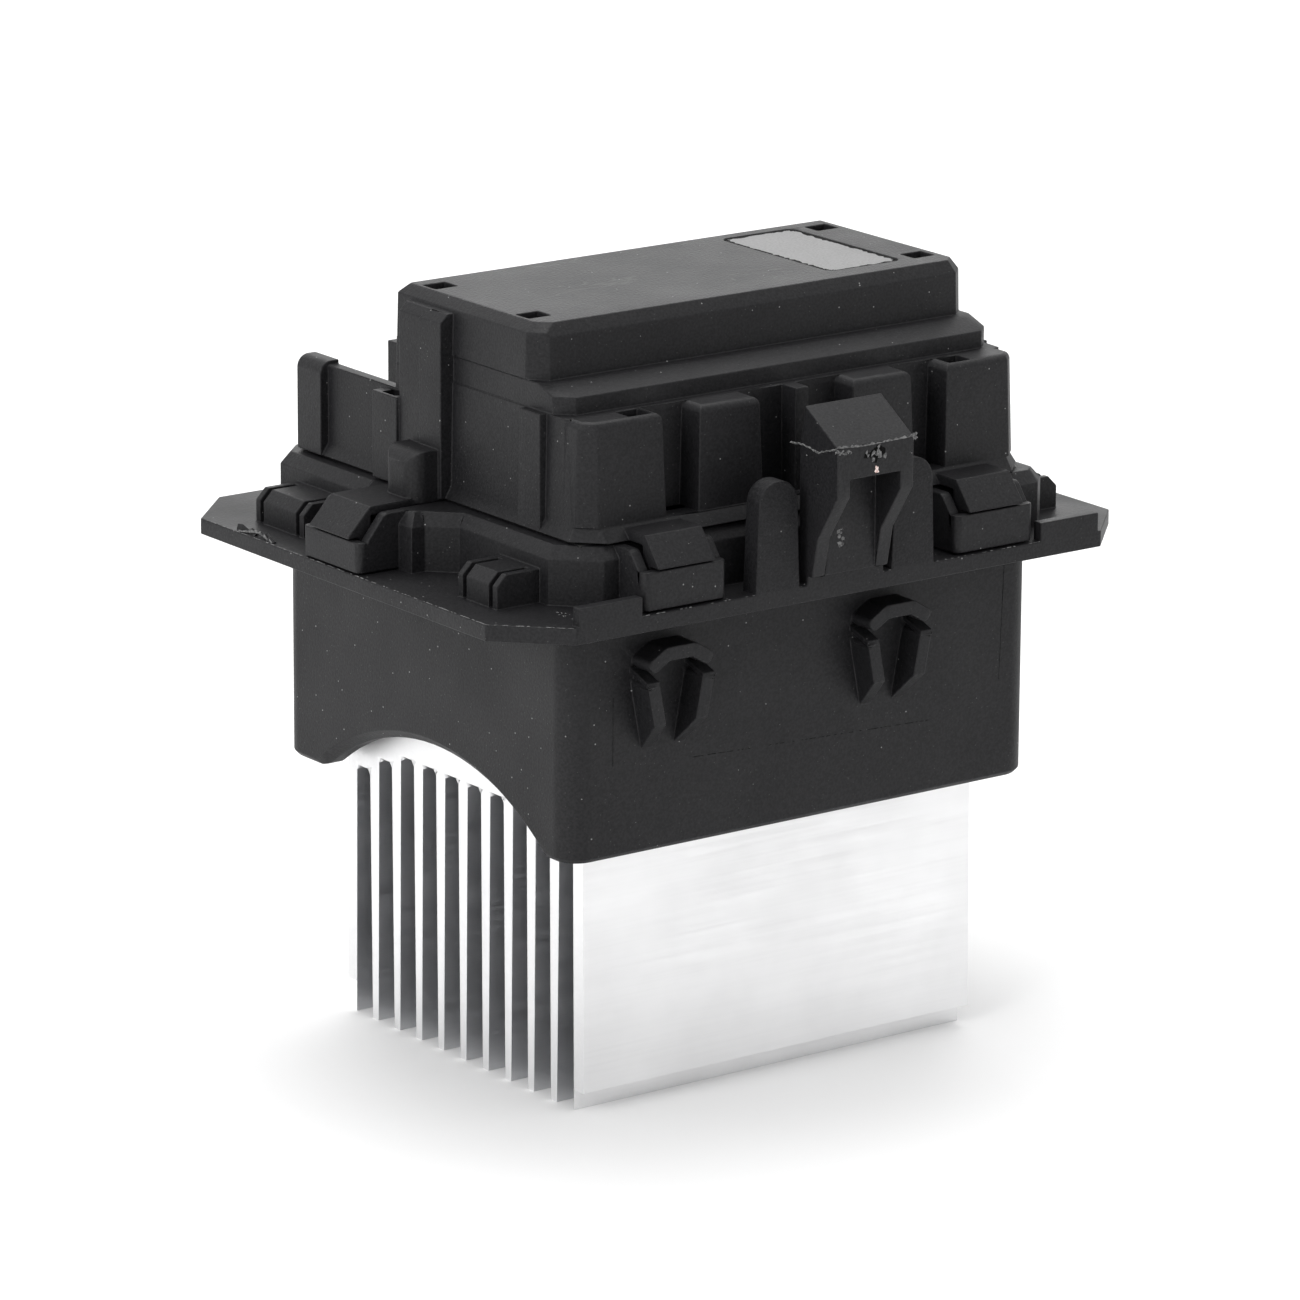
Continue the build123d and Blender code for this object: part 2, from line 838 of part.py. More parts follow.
    # Posts for the circuit board and holes for the screws
    with BuildSketch(Plane.XY.offset(deck_top)):
        with GridLocations(2 * post_x, 2 * post_y, 2, 2):
            Rectangle(post_size, post_size)
    extrude(amount=post_height)
    board_screw_places = [(-post_x, -post_y), (post_x, post_y)]
    with BuildSketch(Plane.XY.offset(board_bottom)):
        with Locations(*board_screw_places):
            Circle(board_screw_size / 2)
    extrude(amount=-board_screw_length, mode=Mode.SUBTRACT)
    with BuildSketch(Plane.XY.offset(deck_bottom)):
        with Locations((0, sink_shift)):
            with GridLocations(2 * sink_screw_x, 2 * sink_screw_y, 2, 2):
                Circle((sink_screw_size + screw_clear) / 2)
    extrude(amount=deck_thick, mode=Mode.SUBTRACT)
mounting_frame.part.label = "mounting_frame"
export_step(mounting_frame.part, "parts/mounting_frame.step")

# Seal bead in the groove under the cover
with BuildPart() as seal_bead:
    with BuildSketch(Plane.XY.offset(base_top - seal_depth)):
        Rectangle(2 * seal_outer_x, 2 * seal_outer_y)
        Rectangle(2 * (seal_outer_x - seal_width), 2 * (seal_outer_y - seal_width), mode=Mode.SUBTRACT)
    extrude(amount=seal_depth)
seal_bead.part.label = "seal_bead"
export_step(seal_bead.part, "parts/seal_bead.step")

# Cover: flared skirt, stepped body, top box and the socket housing at the rear
with BuildPart() as cover:
    foot = faceted(foot_half_x, -foot_half_y, foot_half_y, skirt_facet, skirt_facet)
    plan(base_top, foot, joint_line)
    with BuildSketch(Plane.XY.offset(skirt_foot)):
        Polygon(*faceted(skirt_half_x, -skirt_half_y, skirt_half_y, skirt_facet, skirt_facet), align=None)
    with BuildSketch(Plane.XY.offset(skirt_top)):
        Polygon(*faceted(body_half_x, -body_half_y, body_half_y, body_facet, body_facet), align=None)
    loft()
    plan(skirt_top, box_plan(socket_block_left, body_half_x, 0, collar_rear), rear_top - skirt_top)
    plan(skirt_top, box_plan(-body_half_x, socket_block_left, 0, collar_rear), socket_floor - skirt_top)
    cheek_inner_x = -body_half_x + cover_wall
    plan(skirt_top, box_plan(-body_half_x, cheek_inner_x, 0, collar_rear), rear_top - skirt_top)
    front_plan = faceted(body_half_x, recess_y, box_rear_y, cover_step_facet, cover_step_facet)
    plan(skirt_top, front_plan, ledge_z - skirt_top, taper=body_draft)
    tier_plan = faceted(tier_half_x, tier_y, box_rear_y, tier_facet, cover_step_facet)
    plan(ledge_z, tier_plan, tier_band_z - ledge_z)
    with BuildSketch(Plane.XY.offset(tier_band_z)):
        Polygon(*tier_plan, align=None)
    with BuildSketch(Plane.XY.offset(tier_top_z)):
        slope_plan = faceted(tier_half_x, tier_slope_y, box_rear_y, tier_facet, cover_step_facet)
        Polygon(*slope_plan, align=None)
    loft()
    box_outline = faceted(box_half_x, box_front_y, box_rear_y, box_facet, box_rear_facet)
    plan(tier_top_z, box_outline, box_top - tier_top_z, taper=box_draft)
    chamfer(cover.faces().sort_by(Axis.Z)[-1].edges(), box_edge_in, box_edge_drop)

    # Four blocks on the front, with a rounded top edge, and a thin rib between the inner pair
    for side in SIDES:
        outer_block = [
            (side * outer_block_x, block_front_y),
            (side * (body_half_x - outer_block_facet), block_front_y),
            (side * body_half_x, block_front_y + outer_block_facet),
            (side * body_half_x, block_root_y),
            (side * outer_block_x, block_root_y),
        ]
        add(front_block(outer_block, skirt_top))
        inner_block = box_plan(side * inner_block_x, side * inner_block_end, block_front_y, block_root_y)
        add(front_block(inner_block, inner_block_z))
    rib_front = block_front_y + centre_rib_back
    rib = box_plan(-centre_rib / 2, centre_rib / 2, rib_front, recess_y + cover_wall)
    plan(skirt_top, rib, ledge_z - skirt_top)

    # Pilasters, boss and pocket on both ends
    for side in SIDES:
        wall_x = side * (body_half_x - cover_wall)
        outer = side * (body_half_x + pilaster_out)
        plan(skirt_foot, box_plan(wall_x, outer, pilaster_front, pilaster_seam), pilaster_top - skirt_foot)
        outer = side * (body_half_x + pilaster_out - pilaster_step)
        plan(skirt_foot, box_plan(wall_x, outer, pilaster_seam, pilaster_rear), pilaster_top - skirt_foot)
        outer = side * (body_half_x + corner_pilaster_out)
        corner_rear = corner_pilaster_front + corner_pilaster_width
        plan(skirt_foot, box_plan(wall_x, outer, corner_pilaster_front, corner_rear), ledge_z - skirt_foot)
        pocket = box_plan(wall_x, side * pocket_end_x, pilaster_rear, pocket_rear)
        plan(skirt_foot, pocket, pocket_top - skirt_foot)
        plan(base_top, box_plan(wall_x, side * boss_end_x, boss_front, boss_rear), boss_top - base_top)
    tops = cover.edges().filter_by(lambda e: abs(e.center().Z - pilaster_top) < hair)
    proud = body_half_x + pilaster_out - pilaster_step - hair
    chamfer(tops.filter_by(lambda e: abs(e.center().X) > proud), box_edge_in)
    boss_edges = cover.edges().filter_by(lambda e: abs(abs(e.center().X) - boss_end_x) < hair)
    fillet(boss_edges.filter_by(lambda e: e.center().Z > base_top + hair), boss_round)

    # Collar round the mouth of the sockets and the open shelf beside them
    with BuildSketch(Plane.XZ.offset(-collar_rear)) as collar:
        Polygon(*box_plan(-collar_half_x, collar_half_x, skirt_foot, collar_top), align=None)
        fillet(collar.vertices().group_by(Axis.Y)[-1], collar_round)
        notch = box_plan(cheek_inner_x, socket_block_left, socket_floor, collar_top + overcut)
        Polygon(*notch, align=None, mode=Mode.SUBTRACT)
    extrude(amount=collar_rear - collar_front)

    # Tongues that snap into the loops of the frame
    front_tongue = snap_tongue(
        reach=front_loop_reach,
        loop_height=front_loop_height,
        root=foot_in_y + tongue_root,
        under=base_top + tongue_clear,
        crest_out=front_crest_out,
        crest_z=front_crest_z,
        toe_z=front_toe_z,
    )
    with Locations(*front_places):
        add(front_tongue)
    end_tongue = snap_tongue(
        reach=side_loop_reach,
        loop_height=side_loop_height,
        root=tab_half_x - side_notch_x - tongue_clear,
        under=side_notch_z + tongue_clear,
        crest_out=side_crest_out,
        crest_z=side_crest_z,
        toe_z=side_toe_z,
    )
    with Locations(*end_places):
        add(end_tongue)

    # Hollow inside: one bay under the steps, a core behind each front block
    inner_x = body_half_x - cover_wall
    bay_top = rear_top - cover_wall
    bay = box_plan(-inner_x, inner_x, recess_y + cover_wall, box_rear_y - cover_wall)
    plan(base_top, bay, bay_top - base_top, mode=Mode.SUBTRACT)
    bay = box_plan(socket_block_left + cover_wall, inner_x, 0, socket_inner_y)
    plan(base_top, bay, bay_top - base_top, mode=Mode.SUBTRACT)
    bay = box_plan(-inner_x, inner_x, -foot_half_y + 2 * cover_wall, foot_half_y - 2 * cover_wall)
    plan(base_top, bay, skirt_top - base_top, mode=Mode.SUBTRACT)
    inner_x = inner_x - cover_wall_draft
    shelf = ledge_z - cover_wall
    bay = box_plan(-inner_x, inner_x, recess_y + cover_wall, box_rear_y - cover_wall)
    plan(bay_top, bay, shelf - bay_top, mode=Mode.SUBTRACT)
    bay = box_plan(-inner_x, inner_x, box_front_y + cover_wall, box_rear_y - cover_wall)
    plan(shelf, bay, box_top - cover_wall - shelf, mode=Mode.SUBTRACT)
    for side in SIDES:
        for x0, x1 in ((outer_block_x, body_half_x - outer_block_facet), (inner_block_x, inner_block_end)):
            core = box_plan(
                side * (x0 + cover_wall),
                side * (x1 - cover_wall),
                block_front_y + cover_wall,
                recess_y + cover_wall + core_overlap,
            )
            plan(base_top, core, shelf - base_top, mode=Mode.SUBTRACT)

    # Power and signal sockets, open at the rear, with keying ribs and latch catches
    for centre, width in ((power_socket_x, power_socket_width), (signal_socket_x, signal_socket_width)):
        with BuildSketch(Plane.XZ.offset(-collar_rear - overcut)):
            with Locations((centre, socket_mid_z)):
                RectangleRounded(width, socket_height, socket_round)
        extrude(amount=collar_rear + overcut - socket_end_y, mode=Mode.SUBTRACT)
        for x in (centre - width / 4, centre + width / 4):
            key = box_plan(x - key_width / 2, x + key_width / 2, socket_end_y, collar_rear - key_setback)
            plan(socket_floor, key, key_height)
        catch_y = collar_rear - catch_back
        catch_half = catch_width / 2
        catch = box_plan(centre - catch_half, centre + catch_half, catch_y - catch_length, catch_y)
        plan(socket_mid_z, catch, collar_top + overcut - socket_mid_z, mode=Mode.SUBTRACT)

    # Slots where the terminals pass the end wall of the sockets
    power_blade_x = spread(power_socket_x, blade_pitch, blade_count)
    signal_pin_x = spread(signal_socket_x, pin_pitch, pin_count)
    with BuildSketch(Plane.XZ.offset(-socket_end_y)):
        with Locations(*[(x, blade_level) for x in power_blade_x]):
            Rectangle(blade_width + 2 * terminal_fit, blade_thick + 2 * terminal_fit)
        with Locations(*[(x, blade_level) for x in signal_pin_x]):
            Rectangle(pin_width + 2 * terminal_fit, blade_thick + 2 * terminal_fit)
    extrude(amount=socket_wall, mode=Mode.SUBTRACT)

    # Square holes in the top box, the outer blocks and the side pockets
    box_vent_x = box_half_x - box_vent_in
    box_vent_rows = (box_front_y + box_vent_front, box_rear_y - box_vent_rear)
    vents = [(side * box_vent_x, y) for side in SIDES for y in box_vent_rows]
    with BuildSketch(Plane.XY.offset(box_top)):
        with Locations(*vents):
            Rectangle(vent_x, vent_y)
    extrude(amount=-2 * cover_wall, mode=Mode.SUBTRACT)
    block_vent_x = outer_block_x + block_vent_in
    block_vent_y = block_front_y + block_vent_back
    with BuildSketch(Plane.XY.offset(ledge_z)):
        with Locations(*[(side * block_vent_x, block_vent_y) for side in SIDES]):
            Rectangle(vent_x, vent_y)
    extrude(amount=-2 * cover_wall, mode=Mode.SUBTRACT)
    pocket_vent_x = body_half_x + pocket_vent_out
    with BuildSketch(Plane.XY.offset(pocket_top)):
        with Locations(*[(side * pocket_vent_x, pocket_vent_y) for side in SIDES]):
            Rectangle(pocket_vent_width, pocket_vent_length)
    extrude(amount=-2 * cover_wall, mode=Mode.SUBTRACT)

    # Recess for the bare plate in the top
    with BuildSketch(Plane.XY.offset(box_top)):
        with Locations((plate_x, plate_y)):
            recess_width = plate_width + 2 * plate_gap
            RectangleRounded(recess_width, plate_length + 2 * plate_gap, plate_round + plate_gap)
    extrude(amount=-plate_recess, mode=Mode.SUBTRACT)
cover.part.label = "cover"
export_step(cover.part, "parts/cover.step")

# Bare plate on the floor of the recess
with BuildPart() as top_plate:
    with BuildSketch(Plane.XY.offset(box_top - plate_recess)):
        with Locations((plate_x, plate_y)):
            RectangleRounded(plate_width, plate_length, plate_round)
    extrude(amount=plate_thick)
top_plate.part.label = "top_plate"
export_step(top_plate.part, "parts/top_plate.step")

# Finned heat sink, extruded along X
fin_y = spread(sink_shift, fin_pitch, fin_count)
with BuildPart() as heat_sink:
    root_half = fin_root / 2
    sink_front = fin_y[0] - root_half
    sink_rear = fin_y[-1] + root_half
    with BuildSketch(Plane.YZ.offset(-sink_length / 2)) as profile:
        Polygon(
            (sink_front, sink_top),
            (sink_front, slot_top),
            (sink_front - end_fin_lean, fin_bottom + front_fin_short),
            (fin_y[0] + fin_tip / 2, fin_bottom + front_fin_short),
            (fin_y[0] + fin_tip / 2, fin_bottom),
            (fin_y[-1] - fin_tip / 2, fin_bottom),
            (fin_y[-1] - fin_tip / 2, fin_bottom + rear_fin_short),
            (sink_rear + end_fin_lean, fin_bottom + rear_fin_short),
            (sink_rear, slot_top),
            (sink_rear, sink_top),
            align=None,
        )
        for i in range(fin_count - 1):
            depth = {0: edge_slot_drop, 1: next_slot_drop}.get(min(i, fin_count - 2 - i), 0)
            Polygon(
                (fin_y[i] + root_half, slot_top - depth),
                (fin_y[i] + fin_tip / 2, fin_bottom - overcut),
                (fin_y[i + 1] - fin_tip / 2, fin_bottom - overcut),
                (fin_y[i + 1] - root_half, slot_top - depth),
                align=None,
                mode=Mode.SUBTRACT,
            )
        corners = profile.vertices().filter_by(lambda v: sink_front + hair < v.Y < sink_rear - hair)
        fillet(corners.filter_by(lambda v: abs(v.Z - slot_top) < edge_slot_drop + hair), slot_round)
    extrude(amount=sink_length)
    with BuildSketch(Plane.XY.offset(sink_top)):
        with Locations((0, sink_shift)):
            with GridLocations(2 * sink_screw_x, 2 * sink_screw_y, 2, 2):
                Circle(sink_screw_size / 2)
    extrude(amount=-(sink_screw_length - deck_thick - gasket_thick + tapping_allowance), mode=Mode.SUBTRACT)
    with BuildSketch(Plane.XY.offset(sink_top)):
        with Locations((0, clamp_y)):
            Circle(sink_screw_size / 2)
    clamp_seat = transistor_top + clamp_thick
    extrude(amount=-(clamp_screw_length - (clamp_seat - sink_top) + tapping_allowance), mode=Mode.SUBTRACT)
heat_sink.part.label = "heat_sink"
export_step(heat_sink.part, "parts/heat_sink.step")

# Gasket between heat sink and deck
with BuildPart() as sink_gasket:
    with BuildSketch(Plane.XY.offset(sink_top)):
        with Locations((0, sink_shift)):
            Rectangle(sink_length - 2 * gasket_inset, sink_rear - sink_front - 2 * gasket_inset)
            Rectangle(window_length + gasket_land, window_depth + gasket_land, mode=Mode.SUBTRACT)
            with GridLocations(2 * sink_screw_x, 2 * sink_screw_y, 2, 2):
                Circle((sink_screw_size + screw_clear) / 2, mode=Mode.SUBTRACT)
    extrude(amount=gasket_thick)
sink_gasket.part.label = "sink_gasket"
export_step(sink_gasket.part, "parts/sink_gasket.step")

# Screws that hold the heat sink to the deck
sink_screw = screw(sink_screw_size, sink_screw_length, screw_head_size, screw_head_height)
with BuildPart() as sink_screws:
    with Locations((0, sink_shift, deck_top)):
        with GridLocations(2 * sink_screw_x, 2 * sink_screw_y, 2, 2):
            add(sink_screw)
sink_screws.part.label = "sink_screws"
export_step(sink_screws.part, "parts/sink_screws.step")

# Circuit board with holes for its screws and leads
with BuildPart() as circuit_board:
    with BuildSketch(Plane.XY.offset(board_bottom)):
        RectangleRounded(board_length, board_depth, board_round)
        with Locations(*board_screw_places):
            Circle((board_screw_size + screw_clear) / 2, mode=Mode.SUBTRACT)
        with Locations(*[(x, blade_bend_y) for x in power_blade_x]):
            Rectangle(blade_tail_width + solder_clear, blade_thick + solder_clear, mode=Mode.SUBTRACT)
        with Locations(*[(x, blade_bend_y) for x in signal_pin_x]):
            Rectangle(pin_width + solder_clear, blade_thick + solder_clear, mode=Mode.SUBTRACT)
        for side in SIDES:
            with Locations((side * transistor_x, lead_y)):
                with GridLocations(lead_pitch, 0, lead_count, 1):
                    Rectangle(lead_width + solder_clear, lead_thick + solder_clear, mode=Mode.SUBTRACT)
    extrude(amount=board_thick)
circuit_board.part.label = "circuit_board"
export_step(circuit_board.part, "parts/circuit_board.step")

# Screws that hold the board to its posts
board_screw = screw(board_screw_size, board_screw_length, board_head_size, board_head_height)
with BuildPart() as board_screws:
    with Locations(*[(x, y, board_top) for x, y in board_screw_places]):
        add(board_screw)
board_screws.part.label = "board_screws"
export_step(board_screws.part, "parts/board_screws.step")

# Thermal pads and power transistors, flat on the heat sink
with BuildPart() as thermal_pads:
    with BuildSketch(Plane.XY.offset(sink_top)):
        pad_y = transistor_front + transistor_length / 2
        with Locations(*[(side * transistor_x, pad_y) for side in SIDES]):
            Rectangle(transistor_width, transistor_length)
    extrude(amount=pad_thick)
thermal_pads.part.label = "thermal_pads"
export_step(thermal_pads.part, "parts/thermal_pads.step")

pad_top = sink_top + pad_thick
lead_bottom = pad_top + lead_level
with BuildPart() as power_transistors:
    for side in SIDES:
        body = [
            (transistor_front, pad_top),
            (transistor_front, lead_bottom + lead_thick),
            (transistor_front + transistor_bevel, transistor_top),
            (transistor_front + transistor_length - transistor_bevel, transistor_top),
            (transistor_front + transistor_length, pad_top + transistor_tab),
            (transistor_front + transistor_length, pad_top),
        ]
        side_profile(body, side * transistor_x, transistor_width)
        lead = [
            (transistor_front, lead_bottom),
            (lead_y - lead_thick / 2, lead_bottom),
            (lead_y - lead_thick / 2, board_top + lead_up),
            (lead_y + lead_thick / 2, board_top + lead_up),
            (lead_y + lead_thick / 2, lead_bottom + lead_thick),
            (transistor_front, lead_bottom + lead_thick),
        ]
        for lead_x in spread(side * transistor_x, lead_pitch, lead_count):
            side_profile(lead, lead_x, lead_width)
power_transistors.part.label = "power_transistors"
export_step(power_transistors.part, "parts/power_transistors.step")

# Spring clamp across both transistors and its screw
clamp_half = transistor_x + transistor_width / 2 - clamp_overhang
with BuildPart() as transistor_clamp:
    with BuildSketch(Plane.XZ.offset(-clamp_y - clamp_width / 2)):
        Polygon(
            (-clamp_half, transistor_top),
            (clamp_half, transistor_top),
            (clamp_half + clamp_curl, transistor_top + clamp_curl),
            (clamp_half + clamp_curl, transistor_top + clamp_curl + clamp_thick),
            (clamp_half, transistor_top + clamp_thick),
            (-clamp_half, transistor_top + clamp_thick),
            (-clamp_half - clamp_curl, transistor_top + clamp_curl + clamp_thick),
            (-clamp_half - clamp_curl, transistor_top + clamp_curl),
            align=None,
        )
    extrude(amount=clamp_width)
    with BuildSketch(Plane.XY.offset(transistor_top)):
        with Locations((0, clamp_y)):
            Circle((sink_screw_size + screw_clear) / 2)
    extrude(amount=clamp_thick, mode=Mode.SUBTRACT)
transistor_clamp.part.label = "transistor_clamp"
export_step(transistor_clamp.part, "parts/transistor_clamp.step")

clamp_screw_tool = screw(sink_screw_size, clamp_screw_length, screw_head_size, screw_head_height)
with BuildPart() as clamp_screw:
    with Locations((0, clamp_y, transistor_top + clamp_thick)):
        add(clamp_screw_tool)
clamp_screw.part.label = "clamp_screw"
export_step(clamp_screw.part, "parts/clamp_screw.step")

# The board carries three rows of parts, those at the front and rear between the screw heads
edge_row_reach = post_x - board_head_size / 2 - row_clear
shunt_length = shunt_span + 2 * shunt_foot
fuse_span = fuse_length + 2 * fuse_lead_reach
film_x, shunt_x, fuse_x = row_places([film_length, shunt_length, fuse_span], edge_row_reach)
choke_span = choke_outer + 2 * winding_lift
*can_places, choke_x = row_places([can_size, can_size, choke_span], board_length / 2)
small_row_length = (small_part_count - 1) * small_part_pitch + small_part_length
rear_row = row_places([diode_length + diode_tab_out, chip_length, small_row_length], edge_row_reach)
diode_x, chip_x, small_row_x = rear_row
diode_x = diode_x - diode_tab_out / 2

# Two electrolytic capacitors: beaded can with a flat top
can_radius = can_size / 2
with BuildPart() as can:
    with BuildSketch(Plane.XZ):
        Polygon(
            (0, 0),
            (can_radius, 0),
            (can_radius, can_groove_z - can_bead),
            (can_radius - can_bead, can_groove_z),
            (can_radius, can_groove_z + can_bead),
            (can_radius, can_height),
            (0, can_height),
            align=None,
        )
    revolve(axis=Axis.Z)
with BuildPart() as electrolytic_capacitors:
    with Locations(*[(x, middle_row_y, board_top) for x in can_places]):
        add(can.part)
electrolytic_capacitors.part.label = "electrolytic_capacitors"
export_step(electrolytic_capacitors.part, "parts/electrolytic_capacitors.step")

# Interference choke: ferrite ring and its winding
with BuildPart() as choke_core:
    with BuildSketch(Plane.XY.offset(board_top + winding_lift)):
        with Locations((choke_x, middle_row_y)):
            Circle(choke_outer / 2)
            Circle(choke_inner / 2, mode=Mode.SUBTRACT)
    extrude(amount=choke_height)
choke_core.part.label = "choke_core"
export_step(choke_core.part, "parts/choke_core.step")

ring_in = choke_inner / 2 - winding_lift
ring_out = choke_outer / 2 + winding_lift
ring_top = 2 * winding_lift + choke_height
with BuildPart() as turn:
    with BuildSketch(Plane.XZ.offset(-choke_wire / 2)):
        Polygon(*box_plan(ring_in, ring_out, 0, ring_top), align=None)
        hollow = box_plan(ring_in + choke_wire, ring_out - choke_wire, choke_wire, ring_top - choke_wire)
        Polygon(*hollow, align=None, mode=Mode.SUBTRACT)
    extrude(amount=choke_wire)
with BuildPart() as choke_winding:
    with Locations((choke_x, middle_row_y, board_top)):
        with PolarLocations(0, choke_turns):
            add(turn.part)
choke_winding.part.label = "choke_winding"
export_step(choke_winding.part, "parts/choke_winding.step")

# Film capacitor
with BuildPart() as film_capacitor:
    with BuildSketch(Plane.XY.offset(board_top)):
        with Locations((film_x, front_row_y)):
            RectangleRounded(film_length, film_width, film_round)
    extrude(amount=film_height)
    chamfer(film_capacitor.faces().sort_by(Axis.Z)[-1].edges(), film_bevel)
film_capacitor.part.label = "film_capacitor"
export_step(film_capacitor.part, "parts/film_capacitor.step")

# Shunt: a bridge of bent strip
with BuildPart() as shunt:
    half = shunt_span / 2
    with BuildSketch(Plane.XZ.offset(-front_row_y - shunt_width / 2)):
        with Locations((shunt_x, board_top)):
            Polygon(
                (-half - shunt_foot, 0),
                (-half + shunt_thick, 0),
                (-half + shunt_thick, shunt_height - shunt_thick),
                (half - shunt_thick, shunt_height - shunt_thick),
                (half - shunt_thick, 0),
                (half + shunt_foot, 0),
                (half + shunt_foot, shunt_thick),
                (half, shunt_thick),
                (half, shunt_height),
                (-half, shunt_height),
                (-half, shunt_thick),
                (-half - shunt_foot, shunt_thick),
                align=None,
            )
    extrude(amount=shunt_width)
shunt.part.label = "shunt"
export_step(shunt.part, "parts/shunt.step")

# Thermal fuse lying on the board, with a bent lead at each end
with BuildPart() as thermal_fuse:
    fuse_axis_z = board_top + fuse_size / 2
    with BuildSketch(Plane.YZ.offset(fuse_x - fuse_length / 2)):
        with Locations((front_row_y, fuse_axis_z)):
            Circle(fuse_size / 2)
    extrude(amount=fuse_length)
    lead_front = front_row_y - fuse_lead / 2
    lead_rear = front_row_y + fuse_lead / 2
    for side in SIDES:
        x0 = fuse_x + side * fuse_length / 2
        x1 = x0 + side * fuse_lead_reach
        foot = box_plan(x1 - side * fuse_lead, x1, lead_front, lead_rear)
        plan(board_top, foot, (fuse_size + fuse_lead) / 2)
        plan(fuse_axis_z - fuse_lead / 2, box_plan(x0, x1, lead_front, lead_rear), fuse_lead)
thermal_fuse.part.label = "thermal_fuse"
export_step(thermal_fuse.part, "parts/thermal_fuse.step")

# Freewheel diode in a flat package
with BuildPart() as freewheel_diode:
    with BuildSketch(Plane.XY.offset(board_top)):
        with Locations((diode_x, rear_row_y)):
            Rectangle(diode_length, diode_width)
    extrude(amount=diode_height)
    chamfer(freewheel_diode.faces().sort_by(Axis.Z)[-1].edges(), diode_bevel)
    with BuildSketch(Plane.XY.offset(board_top)):
        with Locations((diode_x + diode_length / 2, rear_row_y)):
            Rectangle(2 * diode_tab_out, diode_width)
    extrude(amount=diode_tab_thick)
freewheel_diode.part.label = "freewheel_diode"
export_step(freewheel_diode.part, "parts/freewheel_diode.step")

# Control chip with two rows of leads
with BuildPart() as control_chip:
    with BuildSketch(Plane.XY.offset(board_top)):
        with Locations((chip_x, rear_row_y)):
            Rectangle(chip_length, chip_width)
            with GridLocations(chip_lead_pitch, 0, chip_leads, 1):
                Rectangle(chip_lead_size, chip_width + 2 * chip_lead_reach)
    extrude(amount=chip_lead_size)
    with BuildSketch(Plane.XY.offset(board_top)):
        with Locations((chip_x, rear_row_y)):
            Rectangle(chip_length, chip_width)
    extrude(amount=chip_height)
control_chip.part.label = "control_chip"
export_step(control_chip.part, "parts/control_chip.step")

# Rows of small ceramic capacitors and chip resistors
for name, shift in (("ceramic_capacitors", chip_cap_shift), ("chip_resistors", chip_resistor_shift)):
    with BuildPart() as row:
        with BuildSketch(Plane.XY.offset(board_top)):
            with Locations((small_row_x, rear_row_y + shift)):
                with GridLocations(small_part_pitch, 0, small_part_count, 1):
                    Rectangle(small_part_length, small_part_width)
        extrude(amount=small_part_height)
    row.part.label = name
    export_step(row.part, f"parts/{name}.step")


def terminal(width, tail_width):
    """Flat terminal: pointed tip in the socket, bend behind the end wall, tail through the board."""
    half = blade_thick / 2
    tail_end = board_bottom - blade_tail_drop
    with BuildPart() as item:
        with BuildSketch(Plane.XY.offset(blade_level - half)) as tongue:
            Polygon(*box_plan(-width / 2, width / 2, blade_bend_y - half, blade_tip_y), align=None)
            chamfer(tongue.vertices().group_by(Axis.Y)[-1], min(blade_point, width * point_share))
        extrude(amount=blade_thick)
        with BuildSketch(Plane.XY.offset(tail_end)):
            with Locations((0, blade_bend_y)):
                Rectangle(tail_width, blade_thick)
        extrude(amount=blade_level - half - tail_end)
    return item.part


# Power blades and signal pins
with BuildPart() as power_blades:
    with Locations(*[(x, 0, 0) for x in power_blade_x]):
        add(terminal(blade_width, blade_tail_width))
power_blades.part.label = "power_blades"
export_step(power_blades.part, "parts/power_blades.step")

with BuildPart() as signal_pins:
    with Locations(*[(x, 0, 0) for x in signal_pin_x]):
        add(terminal(pin_width, pin_width))
signal_pins.part.label = "signal_pins"
export_step(signal_pins.part, "parts/signal_pins.step")
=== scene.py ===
import json
import math
import random

import bmesh
import bpy
from mathutils import Matrix, Vector
from mathutils.bvhtree import BVHTree


